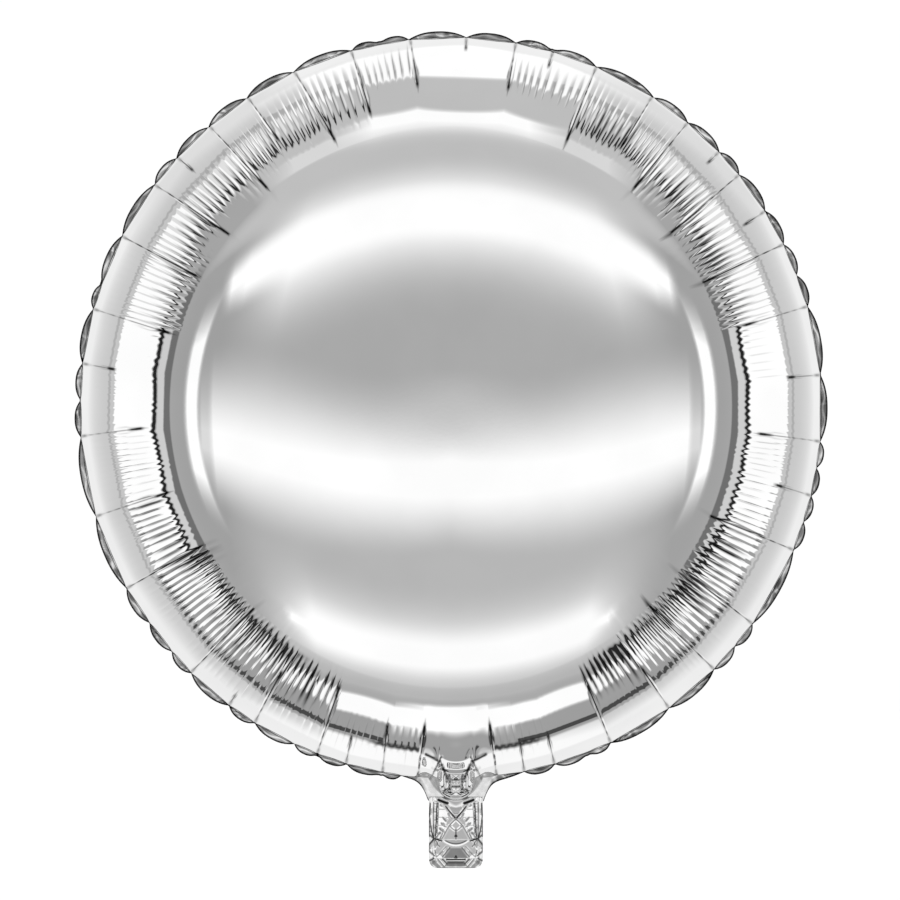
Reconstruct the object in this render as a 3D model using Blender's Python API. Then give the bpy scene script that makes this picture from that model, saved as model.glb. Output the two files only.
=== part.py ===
"""Round foil party balloon, filled, with its welded rim and its flat filling neck.

Metres, +Z up with the neck down, front face towards -Y. The origin is the middle of
the envelope. Angles round the rim are degrees clockwise from the top, seen from the
front. Two domed film panels meet at a flat scalloped weld; below them the neck, a
small puffed pillow with pressed sides and a sealed foot, folds to and fro on one line
across its root.
"""

from math import cos, pi, radians, sin, sqrt
from typing import NamedTuple

import bmesh
import bpy
from mathutils import Matrix, Vector

# Fits between pieces that touch
GAP = 0.0003

# Envelope
RIM_RADIUS = 0.1745          # film at the rim, at a fold
DOME_WALL = 0.0014           # stand-in wall over the dome
RIM_WALL = 0.0022            # stand-in wall in the folded zone
FOLD_DEPTH = 0.0010          # how far a fold dips below the film
DOME_SLOPES = (3, 8, 15, 24)             # film slope at each ring, smooth dome
RIM_SLOPES = (34, 48, 62, 74, 83, 90)    # film slope at each ring, folded zone
FOLD_SIDE = 0.15             # a fold's shoulders, as a share of the way to the next

# Rim weld
WELD_THICKNESS = 0.0010
WELD_NARROW = 0.0010         # weld width at a fold
WELD_WIDE = 0.0033           # weld width in the middle of a scallop
SCALLOP_STEPS = (0.2, 0.5, 0.8)

# Spout, where the film runs down into the neck
NECK_X = 0.0024              # middle of the neck
SPOUT_BOTTOM = -0.1812
WELD_BOTTOM = -0.1848
SPOUT_LEFT = (182.9, 186.4)  # full spout inside the first angle, none past the second
SPOUT_RIGHT = (175.6, 172.6)

# Neck
FRAME_THICKNESS = 0.0016
FOLD_AXIS_Z = WELD_BOTTOM - GAP - FRAME_THICKNESS / 2
NECK_WIDTH = 0.0254
NECK_BOTTOM = -0.2165
NECK_CORNER = 0.0040         # radius of the two bottom corners
FRAME_SIDE = 0.0030
FRAME_ROOT = 0.0030
FOOT_TOP = NECK_BOTTOM + 0.0045
FILM_LAP = 0.0010            # the neck films lie this far over the frame
FILM_WALL = 0.0010
NECK_CREASE_Z = -0.2030      # crease across the neck, over the filling slit
UPPER_PUFF = 0.0042
LOWER_PUFF = 0.0030
CREASE_PUFF = 0.0012


class Fold(NamedTuple):
    """One fold of the film at the rim: where it is, and the radius it runs in to."""

    angle: float
    reach: float


class SpoutRing(NamedTuple):
    """Where one ring of the film lies in the middle of the spout."""

    slope: float
    radius: float
    height: float


SPOUT = tuple(SpoutRing(*row) for row in (
    (62, 0.1653, 0.0402), (74, 0.1725, 0.0310), (83, 0.1788, 0.0155),
    (90, -SPOUT_BOTTOM, 0.0),
))

FOLDS = tuple(Fold(angle, reach) for angle, reach in (
    (2.5, 0.168), (10.2, 0.150), (16.0, 0.165), (23.4, 0.134), (33.0, 0.151),
    (39.8, 0.133), (46.4, 0.165), (51.2, 0.131), (58.0, 0.165), (63.8, 0.131),
    (69.0, 0.1745), (74.2, 0.141), (84.8, 0.160), (95.2, 0.141), (99.3, 0.1745),
    (103.8, 0.156), (107.8, 0.1745), (112.6, 0.134), (125.5, 0.135), (130.3, 0.1745),
    (134.7, 0.131), (144.0, 0.153), (154.2, 0.140), (163.7, 0.162), (168.5, 0.162),
    (172.6, 0.148), (174.2, 0.1745), (175.6, 0.163), (177.4, 0.1745), (179.2, 0.1745),
    (181.0, 0.1745), (182.9, 0.163), (184.6, 0.148), (186.4, 0.1745), (190.8, 0.150),
    (196.5, 0.160), (201.0, 0.140), (205.5, 0.1745), (212.0, 0.146), (216.7, 0.165),
    (224.5, 0.134), (229.0, 0.1745), (234.5, 0.1745), (240.8, 0.132), (245.5, 0.1745),
    (253.0, 0.136), (265.8, 0.144), (271.3, 0.1745), (276.8, 0.160), (285.4, 0.136),
    (290.3, 0.1745), (297.8, 0.132), (307.5, 0.132), (312.7, 0.162), (319.8, 0.133),
    (327.0, 0.148), (335.4, 0.134), (344.4, 0.140), (353.6, 0.150),
))


def clear_scene():
    """Remove every object that the file starts with."""
    for obj in list(bpy.data.objects):
        bpy.data.objects.remove(obj, do_unlink=True)


def collection(name):
    """Make a collection in the scene."""
    made = bpy.data.collections.new(name)
    bpy.context.scene.collection.children.link(made)
    return made


def foil_material(name, grey, roughness):
    """Silver metallised film of one brightness and gloss."""
    material = bpy.data.materials.new(name)
    material.use_nodes = True
    shader = material.node_tree.nodes["Principled BSDF"]
    shader.inputs["Base Color"].default_value = (grey, grey, grey, 1.0)
    shader.inputs["Metallic"].default_value = 1.0
    shader.inputs["Roughness"].default_value = roughness
    return material


def panel_foil():
    """Front and back panels."""
    return foil_material("panel_foil", 0.80, 0.10)


def weld_foil():
    """Pressed rim of the envelope."""
    return foil_material("weld_foil", 0.55, 0.25)


def neck_foil():
    """Puffed films of the neck."""
    return foil_material("neck_foil", 0.78, 0.14)


def neck_weld_foil():
    """Pressed root, sides and foot of the neck."""
    return foil_material("neck_weld_foil", 0.52, 0.28)


def meridian(slope):
    """Radius and height of a film meridian where its slope is that many degrees.

    The film keeps its length along the meridian and gathers round it, which gives
    radius = RIM_RADIUS * sqrt(sin slope) and a height that falls to 0 at the rim.
    """
    steps = 60
    start, end = radians(slope), pi / 2
    width = (end - start) / steps
    height = sum(sqrt(sin(start + (k + 0.5) * width)) for k in range(steps)) * width
    return RIM_RADIUS * sqrt(sin(start)), RIM_RADIUS / 2 * height


def point(angle, radius, y):
    """A point at a clock angle and radius, seen from the front."""
    return Vector((radius * sin(radians(angle)), y, radius * cos(radians(angle))))


def spout_share(angle):
    """How far the film follows the spout at an angle: 0 none, 1 fully."""
    if angle < SPOUT_RIGHT[0] or angle > SPOUT_LEFT[0]:
        inner, outer = SPOUT_RIGHT if angle < 180.0 else SPOUT_LEFT
        share = (angle - outer) / (inner - outer)
        return max(0.0, min(1.0, share)) ** 2
    return 1.0


def straight_down(angle, z):
    """Radius at which a ray that points down at that angle meets a level line at z."""
    return z / cos(radians(angle))


def film_edge(angle):
    """Radius of the film's edge: straight from fold to fold, longer at the spout."""
    angles = [fold.angle for fold in FOLDS]
    after = next((a for a in angles if a > angle), angles[0] + 360.0)
    before = max((a for a in angles if a <= angle), default=angles[-1] - 360.0)
    half = radians(after - before) / 2
    off_middle = radians(angle - (before + after) / 2)
    chord = RIM_RADIUS * cos(half) / cos(off_middle)
    share = spout_share(angle)
    if share == 0.0:
        return chord
    return chord * (1 - share) + straight_down(angle, SPOUT_BOTTOM) * share


def fold_columns():
    """Angles of the folds alone."""
    return [fold.angle for fold in FOLDS]


def columns_between(steps):
    """Angles of the folds, each followed by those shares of the way to the next."""
    angles = []
    for index, fold in enumerate(FOLDS):
        after = FOLDS[(index + 1) % len(FOLDS)].angle
        width = (after - fold.angle) % 360.0
        angles.append(fold.angle)
        angles.extend(fold.angle + width * step for step in steps)
    return angles


def spout_section(slope):
    """Radius and height of the film in the middle of the spout."""
    for row in SPOUT:
        if row.slope == slope:
            return row.radius, row.height
    return meridian(slope)


def film_point(fold, angle, slope, inward):
    """Point of the film at one column and ring.

    fold is the fold on that column, or None between folds. inward moves the point
    to the inside of the wall.
    """
    radius, height = meridian(slope)
    share = spout_share(angle)
    if share > 0.0:
        low_radius, low_height = spout_section(slope)
        if slope > SPOUT[0].slope:
            low_radius *= straight_down(angle, SPOUT_BOTTOM) / -SPOUT_BOTTOM
        radius = radius * (1 - share) + low_radius * share
        height = height * (1 - share) + low_height * share
    elif slope > 80:
        radius *= film_edge(angle) / RIM_RADIUS
    depth = inward
    if fold and not inward and slope < 89 and radius > fold.reach:
        depth += FOLD_DEPTH
    radius -= depth * sin(radians(slope))
    height -= depth * cos(radians(slope))
    return radius, max(height, 0.0)


def ring(bm, side, columns, folds, slope, inward):
    """One ring of film vertices; side is -1 at the front and +1 at the back."""
    verts = []
    for angle in columns:
        fold = folds.get(round(angle, 3))
        radius, height = film_point(fold, angle, slope, inward)
        verts.append(bm.verts.new(point(angle, radius, side * (height + GAP / 2))))
    return verts


def stitch(bm, inner, outer):
    """Faces between two rings; the outer ring may have a whole multiple of points."""
    many = len(outer) // len(inner)
    for index, vert in enumerate(inner):
        following = inner[(index + 1) % len(inner)]
        run = [outer[(index * many + k) % len(outer)] for k in range(many + 1)]
        if many == 1:
            bm.faces.new((vert, following, run[1], run[0]))
            continue
        middle = many // 2
        for k in range(many):
            bm.faces.new((vert if k <= middle else following, run[k + 1], run[k]))
            if k == middle:
                bm.faces.new((vert, following, run[k + 1]))


def pole(bm, side, first, inward):
    """Close the middle of a dome on its first ring."""
    height = meridian(0)[1] - inward
    middle = bm.verts.new((0.0, side * (height + GAP / 2), 0.0))
    for index, vert in enumerate(first):
        bm.faces.new((middle, first[(index + 1) % len(first)], vert))


def finish_mesh(bm, name, material, group, origin=Vector((0.0, 0.0, 0.0))):
    """Turn a bmesh into one named object whose origin is where it is asked for."""
    bmesh.ops.remove_doubles(bm, verts=bm.verts[:], dist=0.000002)
    bmesh.ops.transform(bm, matrix=Matrix.Translation(-origin), verts=bm.verts[:])
    bmesh.ops.triangulate(bm, faces=bm.faces[:])
    bmesh.ops.recalc_face_normals(bm, faces=bm.faces[:])
    mesh = bpy.data.meshes.new(name)
    bm.to_mesh(mesh)
    bm.free()
    obj = bpy.data.objects.new(name, mesh)
    obj.location = origin
    mesh.materials.append(material)
    group.objects.link(obj)
    return obj


def build_panel(name, side, material, group):
    """One domed film panel: an open bowl with its folds round the rim."""
    bm = bmesh.new()
    folds = {round(fold.angle, 3): fold for fold in FOLDS}
    coarse = fold_columns()
    fine = columns_between((FOLD_SIDE, 1 - FOLD_SIDE))
    outer = [ring(bm, side, coarse, folds, slope, 0.0) for slope in DOME_SLOPES]
    outer += [ring(bm, side, fine, folds, slope, 0.0) for slope in RIM_SLOPES]
    inner = [ring(bm, side, coarse, folds, slope, DOME_WALL) for slope in DOME_SLOPES]
    inner += [ring(bm, side, coarse, folds, slope, RIM_WALL) for slope in RIM_SLOPES]
    for rings, wall in ((outer, 0.0), (inner, DOME_WALL)):
        pole(bm, side, rings[0], wall)
        for first, second in zip(rings, rings[1:]):
            stitch(bm, first, second)
    stitch(bm, inner[-1], outer[-1])
    return finish_mesh(bm, name, material, group)


def weld_edge(angle, share):
    """Outer radius of the weld; share runs from 0 at a fold to 1 at the next."""
    width = WELD_NARROW + (WELD_WIDE - WELD_NARROW) * (1 - (2 * share - 1) ** 2)
    round_rim = film_edge(angle) + GAP + width
    down = spout_share(angle)
    if down == 0.0:
        return round_rim
    return round_rim * (1 - down) + straight_down(angle, WELD_BOTTOM) * down


def build_rim_weld(material, group):
    """The flat weld round the envelope, its edge in scallops from fold to fold."""
    bm = bmesh.new()
    angles = columns_between(SCALLOP_STEPS)
    shares = ([0.0] + list(SCALLOP_STEPS)) * len(FOLDS)
    loops = []
    for y in (-WELD_THICKNESS / 2, WELD_THICKNESS / 2):
        loops.append([bm.verts.new(point(a, film_edge(a) + GAP, y)) for a in angles])
        loops.append([bm.verts.new(point(a, weld_edge(a, s), y))
                      for a, s in zip(angles, shares)])
    front_in, front_out, back_in, back_out = loops
    for first, second in ((front_in, front_out), (front_out, back_out),
                          (back_out, back_in), (back_in, front_in)):
        stitch(bm, first, second)
    return finish_mesh(bm, "rim_weld", material, group)


def plate(outline, thickness):
    """A flat plate of that outline, given as points across and up."""
    bm = bmesh.new()
    bm.faces.new([bm.verts.new((NECK_X + x, -thickness / 2, z)) for x, z in outline])
    raised = bmesh.ops.extrude_face_region(bm, geom=bm.faces[:])
    lifted = [item for item in raised["geom"] if isinstance(item, bmesh.types.BMVert)]
    bmesh.ops.translate(bm, vec=(0.0, thickness, 0.0), verts=lifted)
    return bm


def build_neck_weld(material, group):
    """The pressed root and sides of the neck; the top edge is round, on the fold line."""
    half, inner = NECK_WIDTH / 2, NECK_WIDTH / 2 - FRAME_SIDE
    top, root = FOLD_AXIS_Z + FRAME_THICKNESS / 2, FOLD_AXIS_Z - FRAME_ROOT
    bm = plate([(half, top), (-half, top), (-half, FOOT_TOP), (-inner, FOOT_TOP),
                (-inner, root), (inner, root), (inner, FOOT_TOP), (half, FOOT_TOP)],
               FRAME_THICKNESS)
    long_edges = [edge for edge in bm.edges
                  if all(abs(vert.co.z - top) < 1e-6 for vert in edge.verts)
                  and abs(edge.verts[0].co.y - edge.verts[1].co.y) < 1e-6]
    bmesh.ops.bevel(bm, geom=long_edges, offset=FRAME_THICKNESS / 2 - 0.00001,
                    segments=3, profile=0.5, affect="EDGES", material=-1)
    return finish_mesh(bm, "neck_weld", material, group,
                       Vector((NECK_X, 0.0, FOLD_AXIS_Z)))


def build_neck_foot(material, group):
    """The sealed band that closes the neck, with two round bottom corners."""
    half, steps = NECK_WIDTH / 2, 5
    outline = [(half, FOOT_TOP - GAP), (-half, FOOT_TOP - GAP)]
    for side, start in ((-1, 180.0), (1, 270.0)):
        for k in range(steps + 1):
            turn = radians(start + 90.0 * k / steps)
            outline.append((side * (half - NECK_CORNER) + NECK_CORNER * cos(turn),
                            NECK_BOTTOM + NECK_CORNER + NECK_CORNER * sin(turn)))
    return finish_mesh(plate(outline, FRAME_THICKNESS), "neck_foot", material, group,
                       Vector((NECK_X, 0.0, FOLD_AXIS_Z)))


def neck_puff(across, z, top, bottom):
    """Height of the neck film; across runs from -1 to 1 over its width."""
    side = 1 - abs(across) ** 2.6
    if z > NECK_CREASE_Z:
        low, high, puff = NECK_CREASE_Z, top, UPPER_PUFF
    else:
        low, high, puff = bottom, NECK_CREASE_Z, LOWER_PUFF
    along = (z - low) / (high - low)
    lobe = puff * (1 - abs(2 * along - 1) ** 2.4)
    crease = CREASE_PUFF * max(0.0, 1 - abs(z - NECK_CREASE_Z) / (top - NECK_CREASE_Z))
    ends = min(1.0, (top - z) / 0.004, (z - bottom) / 0.004)
    return side * max(lobe, crease * ends)


def build_neck_film(name, side, material, group):
    """One puffed film of the neck, open towards the other."""
    bm = bmesh.new()
    columns, rows = 8, 12
    half = NECK_WIDTH / 2 - FRAME_SIDE + FILM_LAP
    top = FOLD_AXIS_Z - FRAME_ROOT + FILM_LAP
    bottom = FOOT_TOP + GAP
    base = FRAME_THICKNESS / 2 + GAP
    bmesh.ops.create_grid(bm, x_segments=columns, y_segments=rows, size=1.0)
    for vert in bm.verts:
        across, along = vert.co.x, (vert.co.y + 1) / 2
        z = bottom + (top - bottom) * along
        height = neck_puff(across, z, top, bottom) + base + FILM_WALL
        vert.co = Vector((NECK_X + half * across, side * height, z))
    raised = bmesh.ops.extrude_face_region(bm, geom=bm.faces[:])
    inner = [item for item in raised["geom"] if isinstance(item, bmesh.types.BMVert)]
    bmesh.ops.translate(bm, vec=(0.0, -side * FILM_WALL, 0.0), verts=inner)
    return finish_mesh(bm, name, material, group,
                       Vector((NECK_X, 0.0, FOLD_AXIS_Z)))


def main():
    """Build the balloon."""
    clear_scene()
    balloon = collection("foil_balloon")
    panels, weld = panel_foil(), weld_foil()
    neck, neck_weld = neck_foil(), neck_weld_foil()
    build_panel("front_panel", -1, panels, balloon)
    build_panel("back_panel", 1, panels, balloon)
    build_rim_weld(weld, balloon)
    build_neck_weld(neck_weld, balloon)
    build_neck_foot(neck_weld, balloon)
    build_neck_film("neck_front_film", -1, neck, balloon)
    build_neck_film("neck_back_film", 1, neck, balloon)


main()
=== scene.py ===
"""Dressed model of a round foil party balloon.

Mirror-bright film panels with their folds and fine ribs, a scalloped pressed rim, and
a puffed, creased filling neck. Metres, +Z up, front towards -Y. Clock angles run from
the top, clockwise as seen from the front.
"""

import logging
import math
from dataclasses import dataclass
from enum import Enum
from typing import Callable, Iterator, NamedTuple

import bmesh
import bpy
import numpy as np
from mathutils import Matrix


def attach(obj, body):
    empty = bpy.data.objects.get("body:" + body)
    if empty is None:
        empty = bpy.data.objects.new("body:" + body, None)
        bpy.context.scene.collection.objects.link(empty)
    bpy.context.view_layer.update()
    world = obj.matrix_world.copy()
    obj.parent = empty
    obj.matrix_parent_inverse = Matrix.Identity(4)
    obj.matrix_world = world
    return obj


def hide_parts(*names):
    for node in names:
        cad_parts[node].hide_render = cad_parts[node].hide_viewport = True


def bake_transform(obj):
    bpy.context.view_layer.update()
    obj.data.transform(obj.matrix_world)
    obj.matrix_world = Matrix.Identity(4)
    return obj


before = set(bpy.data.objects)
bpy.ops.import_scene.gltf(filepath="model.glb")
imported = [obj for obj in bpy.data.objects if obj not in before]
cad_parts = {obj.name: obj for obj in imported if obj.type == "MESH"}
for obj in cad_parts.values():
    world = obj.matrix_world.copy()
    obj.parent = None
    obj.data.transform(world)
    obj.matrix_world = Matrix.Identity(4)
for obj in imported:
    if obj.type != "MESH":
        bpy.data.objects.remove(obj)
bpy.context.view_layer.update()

log = logging.getLogger("foil_balloon")

# Radius of the filled film's edge, the neck's middle line, and half its width
RIM_RADIUS = 0.1745
NECK_X = 0.0024
NECK_HALF = 0.0127
# Room between the two film panels, and how near two points lie when they become one
GAP = 0.0003
WELD_DISTANCE = 0.0000002
# How closely places on a plain grid, which runs from -1 to 1, are told apart
GRID_SLACK = 0.0001
# Name of the painted shade kept on the points of a mesh, which darkens the film's colour
PAINTED_SHADE = "painted_shade"
# Millimetres to the metre, and the cosine up to which a place counts as underneath
MILLIMETRES = 1000.0
UNDERNEATH = -0.5
# How a crease runs out at its ends, and how dark its line of painted shade is drawn
CREASE_END_DEPTH = 0.45
CREASE_TAPER = 6.0
LINE_CORE = 2.4
LINE_STRENGTH = 1.2

Span = tuple[float, float]


class Side(Enum):
    """Which face of the balloon a film is on, as its direction along Y."""

    FRONT = -1
    BACK = 1


class Fold(NamedTuple):
    """One place where the film is gathered at the rim.

    angle is its clock angle at the rim in degrees, reach the radius that its crease
    runs in to, and lean how many degrees further round its inner end lies.
    """

    angle: float
    reach: float
    lean: float


class Nip(NamedTuple):
    """A place where the pressed rim is nipped in; share is how far, up to 1."""

    angle: float
    share: float


class RibSector(NamedTuple):
    """Fine ribs between two folds, from one clock angle on to the next row's.

    first and last are their strengths at the sector's two ends; inner and outer are
    the radii that they run between; pinch_shade is how dark the painted shade is where
    they are pinched at the inner end.
    """

    angle: float
    first: float
    last: float
    inner: float
    outer: float
    pinch_shade: float


class SpoutRow(NamedTuple):
    """Where the film lies in the middle of the spout, at one slope of the meridian."""

    slope: float
    radius: float
    height: float


class Crease(NamedTuple):
    """A sharp crease with a painted shade line, alike on both sides of the neck's middle.

    x0, z0 and x1, z1 are its ends in millimetres, x from the neck's middle line. rise
    is the height of its ridge, below 0 for a groove, half the distance that the ridge
    reaches to either side, and shade and line the darkness and half width of the painted
    shade line.
    """

    x0: float
    z0: float
    x1: float
    z1: float
    rise: float
    half: float
    shade: float
    line: float


FOLDS = tuple(Fold(angle, reach, lean) for angle, reach, lean in (
    (2.4, 0.168, 0.0), (10.1, 0.150, 0.1), (16.0, 0.166, 0.0), (23.1, 0.134, 0.4),
    (32.9, 0.146, 0.3), (39.7, 0.132, 0.2), (46.3, 0.166, 0.1), (51.0, 0.130, 0.6),
    (57.9, 0.161, 0.2), (63.8, 0.131, -0.1), (74.1, 0.141, 0.3), (84.9, 0.158, 0.0),
    (95.2, 0.144, -0.3), (103.7, 0.156, -0.3), (112.5, 0.131, 0.2),
    (125.6, 0.134, -0.4), (134.8, 0.129, 0.2), (144.0, 0.150, -0.2),
    (154.5, 0.143, -0.7), (163.8, 0.159, -0.3), (168.6, 0.159, -0.3),
    (172.9, 0.148, 0.1), (185.1, 0.148, -0.4), (190.6, 0.150, 0.7),
    (196.4, 0.160, 0.4), (201.1, 0.140, 0.6), (211.9, 0.146, 0.7),
    (216.7, 0.167, 0.2), (224.5, 0.131, -0.1), (240.9, 0.132, 0.0),
    (253.0, 0.138, 0.2), (265.6, 0.144, 0.5), (276.9, 0.158, -0.4),
    (285.5, 0.135, -0.7), (297.6, 0.132, -0.3), (307.0, 0.131, 0.9),
    (312.5, 0.163, 0.1), (319.4, 0.133, 0.6), (326.8, 0.148, 0.4),
    (335.0, 0.135, 1.5), (344.4, 0.141, 0.3), (353.7, 0.150, 0.4),
))

NIPS = tuple(Nip(angle, share) for angle, share in (
    (2.4, 1.0), (10.1, 1.0), (15.8, 0.6), (23.1, 1.0), (33.2, 1.0), (39.7, 1.0),
    (46.4, 1.0), (51.0, 1.0), (57.9, 1.0), (63.8, 1.0), (69.0, 1.0), (74.1, 1.0),
    (84.8, 0.9), (95.2, 1.0), (99.3, 0.9), (103.7, 1.0), (107.9, 0.9), (112.5, 1.0),
    (125.6, 1.0), (130.0, 0.9), (134.8, 1.0), (144.0, 1.0), (154.5, 1.0),
    (158.4, 0.4), (163.7, 1.0), (168.6, 1.0), (187.7, 1.0), (190.7, 0.35),
    (196.3, 1.0), (201.0, 0.6), (205.0, 1.0), (211.9, 1.0), (216.7, 1.0),
    (224.4, 1.0), (228.9, 0.9), (234.5, 1.0), (240.9, 1.0), (253.0, 1.0),
    (265.5, 1.0), (271.2, 0.9), (276.9, 1.0), (285.5, 1.0), (289.6, 0.7),
    (297.7, 1.0), (307.1, 1.0), (312.3, 1.0), (319.2, 1.0), (326.6, 1.0),
    (334.9, 1.0), (344.5, 1.0), (348.9, 0.35), (353.5, 1.0),
))

RIB_SECTORS = tuple(RibSector(*row) for row in (
    (0.0, 0.0, 0.0, 0.140, 0.165, 0.0), (10.1, 0.8, 1.0, 0.148, 0.173, 0.35),
    (23.1, 1.0, 1.0, 0.1400, 0.173, 0.8), (39.7, 1.0, 1.0, 0.132, 0.172, 0.9),
    (51.0, 1.1, 1.0, 0.130, 0.168, 0.8), (63.8, 1.0, 0.9, 0.131, 0.168, 0.6),
    (74.1, 0.7, 0.5, 0.138, 0.169, 0.15), (85.0, 0.5, 0.7, 0.138, 0.169, 0.0),
    (95.2, 0.9, 0.9, 0.136, 0.169, 0.25), (112.5, 1.0, 1.1, 0.132, 0.169, 0.9),
    (125.6, 1.1, 1.1, 0.129, 0.169, 1.0), (134.8, 1.1, 1.0, 0.129, 0.168, 1.0),
    (144.0, 0.9, 0.15, 0.134, 0.167, 0.8), (154.5, 0.04, 0.04, 0.140, 0.163, 0.0),
    (163.8, 0.15, 0.3, 0.149, 0.163, 0.1), (172.9, 0.0, 0.0, 0.150, 0.163, 0.0),
    (185.1, 0.6, 0.3, 0.151, 0.170, 0.15), (201.1, 0.7, 1.0, 0.136, 0.171, 0.9),
    (211.9, 1.1, 1.2, 0.131, 0.171, 1.0), (224.5, 1.2, 1.1, 0.129, 0.170, 1.0),
    (240.9, 1.1, 1.0, 0.1365, 0.171, 0.75), (253.0, 1.0, 1.0, 0.1375, 0.171, 0.2),
    (265.6, 0.8, 0.5, 0.1395, 0.169, 0.0), (285.5, 1.0, 1.1, 0.131, 0.171, 0.6),
    (297.6, 1.0, 1.0, 0.133, 0.168, 0.7), (307.0, 1.0, 1.0, 0.137, 0.168, 0.7),
    (319.4, 1.0, 1.0, 0.1400, 0.172, 0.6), (335.0, 1.0, 1.0, 0.141, 0.173, 0.5),
    (344.4, 1.1, 1.0, 0.152, 0.173, 0.45), (353.7, 0.0, 0.0, 0.160, 0.168, 0.0),
))

SPOUT_CREASES = tuple(Crease(*row) for row in (
    # Creases that gather the film into the spout
    (6.9, -162.6, 9.6, -168.5, -0.15, 1.1, 0.90, 0.26),
    (9.6, -168.5, 12.3, -174.8, -0.15, 1.1, 0.90, 0.26),
    (6.6, -166.4, 3.9, -173.6, -0.15, 1.2, 1.00, 0.50),
    # Painted shade line where the film beside them turns in
    (7.6, -164.8, 14.0, -161.4, 0.0, 0.8, 0.95, 0.50),
    # Knot of film over the filling slit
    (3.0, -171.2, 2.6, -174.8, 0.30, 1.1, 0.45, 0.18),
    (2.6, -174.8, 3.1, -178.6, 0.30, 1.1, 0.45, 0.18),
    (0.0, -174.3, 1.6, -174.2, -0.20, 0.9, 1.0, 0.40),
    (0.0, -177.6, 1.7, -177.7, -0.20, 0.9, 1.0, 0.48),
    (0.0, -176.0, 1.7, -176.0, 0.30, 0.8, 0.0, 0.2),
    (3.2, -178.6, 5.4, -179.6, -0.15, 0.9, 0.7, 0.28),
    # Fine pleats beside it
    (4.6, -175.0, 4.9, -179.0, -0.25, 0.7, 0.55, 0.26),
    (9.5, -174.5, 8.0, -179.3, -0.15, 0.8, 0.25, 0.20),
))

NECK_CREASES = tuple(Crease(*row) for row in (
    # Crumpled V under the envelope, and its tails
    (8.2, -184.4, 4.0, -185.9, -0.45, 0.9, 1.0, 0.50),
    (6.8, -186.8, 3.4, -187.6, 0.35, 0.7, 0.0, 0.2),
    (4.8, -187.4, 1.7, -191.2, -0.40, 0.9, 0.85, 0.24),
    (1.7, -191.2, 0.5, -192.6, -0.30, 0.7, 0.90, 0.34),
    (3.4, -190.6, 2.2, -193.0, 0.30, 0.6, 0.35, 0.18),
    # Diamond and the broad triangle under it
    (0.0, -193.2, 3.2, -196.4, -0.30, 0.9, 0.60, 0.17),
    (3.2, -196.4, 0.4, -198.8, 0.35, 0.9, 0.45, 0.17),
    (3.4, -196.6, 6.8, -203.0, 0.40, 1.1, 0.45, 0.18),
    (0.0, -198.4, 0.0, -202.6, -0.30, 1.0, 0.75, 0.20),
    (0.0, -201.0, 0.3, -201.4, 0.0, 0.6, 1.0, 0.34),
    # Sides
    (8.9, -186.0, 9.2, -193.0, -0.45, 0.9, 0.80, 0.24),
    (9.2, -193.0, 9.7, -201.4, -0.45, 0.9, 0.75, 0.24),
    (4.4, -194.2, 5.8, -192.6, 0.25, 0.6, 0.40, 0.16),
    (4.7, -196.8, 6.6, -195.2, 0.25, 0.6, 0.35, 0.16),
    (5.4, -199.2, 7.4, -197.8, 0.25, 0.6, 0.30, 0.16),
    # Rays of the upper pinch
    (10.0, -202.7, 6.8, -203.6, -0.35, 0.7, 0.85, 0.26),
    (10.0, -202.7, 7.2, -199.6, 0.30, 0.6, 0.55, 0.18),
    (10.0, -202.7, 7.8, -206.4, 0.35, 0.7, 0.60, 0.20),
    (10.0, -202.7, 9.9, -206.8, -0.25, 0.6, 0.50, 0.18),
    # Lower part, with the rays of the lower pinch
    (2.9, -206.8, 6.2, -211.2, 0.35, 0.9, 0.60, 0.22),
    (4.6, -206.2, 8.6, -210.8, -0.25, 0.7, 0.35, 0.18),
    (9.2, -211.3, 6.3, -208.6, 0.30, 0.6, 0.55, 0.20),
    (9.2, -211.3, 9.9, -208.2, -0.30, 0.6, 0.60, 0.20),
    (0.0, -210.6, 0.4, -211.6, -0.2, 0.5, 0.90, 0.30),
))

BORDER_CREASES = tuple(Crease(*row) for row in (
    # Long facets down both borders
    (12.1, -186.0, 12.5, -192.0, -0.20, 0.5, 0.85, 0.24),
    (12.5, -192.0, 11.5, -199.0, -0.20, 0.5, 0.75, 0.22),
    (11.5, -199.0, 10.5, -202.4, -0.20, 0.5, 0.85, 0.26),
    (10.5, -185.6, 10.4, -201.6, 0.25, 0.8, 0.70, 0.20),
    (12.5, -194.0, 12.6, -201.6, 0.0, 0.5, 0.80, 0.24),
    # Rays of the two pinches
    (10.2, -202.7, 12.6, -200.6, 0.30, 0.6, 0.70, 0.22),
    (10.2, -202.7, 12.6, -205.4, -0.30, 0.6, 0.80, 0.26),
    (12.5, -205.6, 12.6, -208.8, 0.0, 0.5, 0.60, 0.24),
    (9.4, -211.3, 12.6, -208.4, 0.30, 0.6, 0.70, 0.22),
    (9.4, -211.5, 12.4, -213.0, -0.30, 0.6, 0.75, 0.24),
    # Foot: slanting corners, a plain middle, and its outline
    (8.8, -211.9, 5.0, -216.4, 0.35, 0.8, 0.55, 0.20),
    (6.4, -212.2, 4.4, -214.4, -0.25, 0.7, 0.75, 0.24),
    (4.4, -214.4, 5.6, -216.4, 0.25, 0.6, 0.50, 0.20),
    (0.0, -212.5, 4.4, -212.5, -0.30, 0.6, 0.85, 0.26),
    (0.0, -214.5, 3.6, -214.5, 0.10, 1.6, 0.66, 1.00),
    (10.6, -213.8, 8.0, -216.0, 0.0, 1.6, 0.55, 0.70),
    (0.0, -216.4, 8.6, -216.4, 0.0, 0.5, 0.60, 0.20),
))


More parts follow.
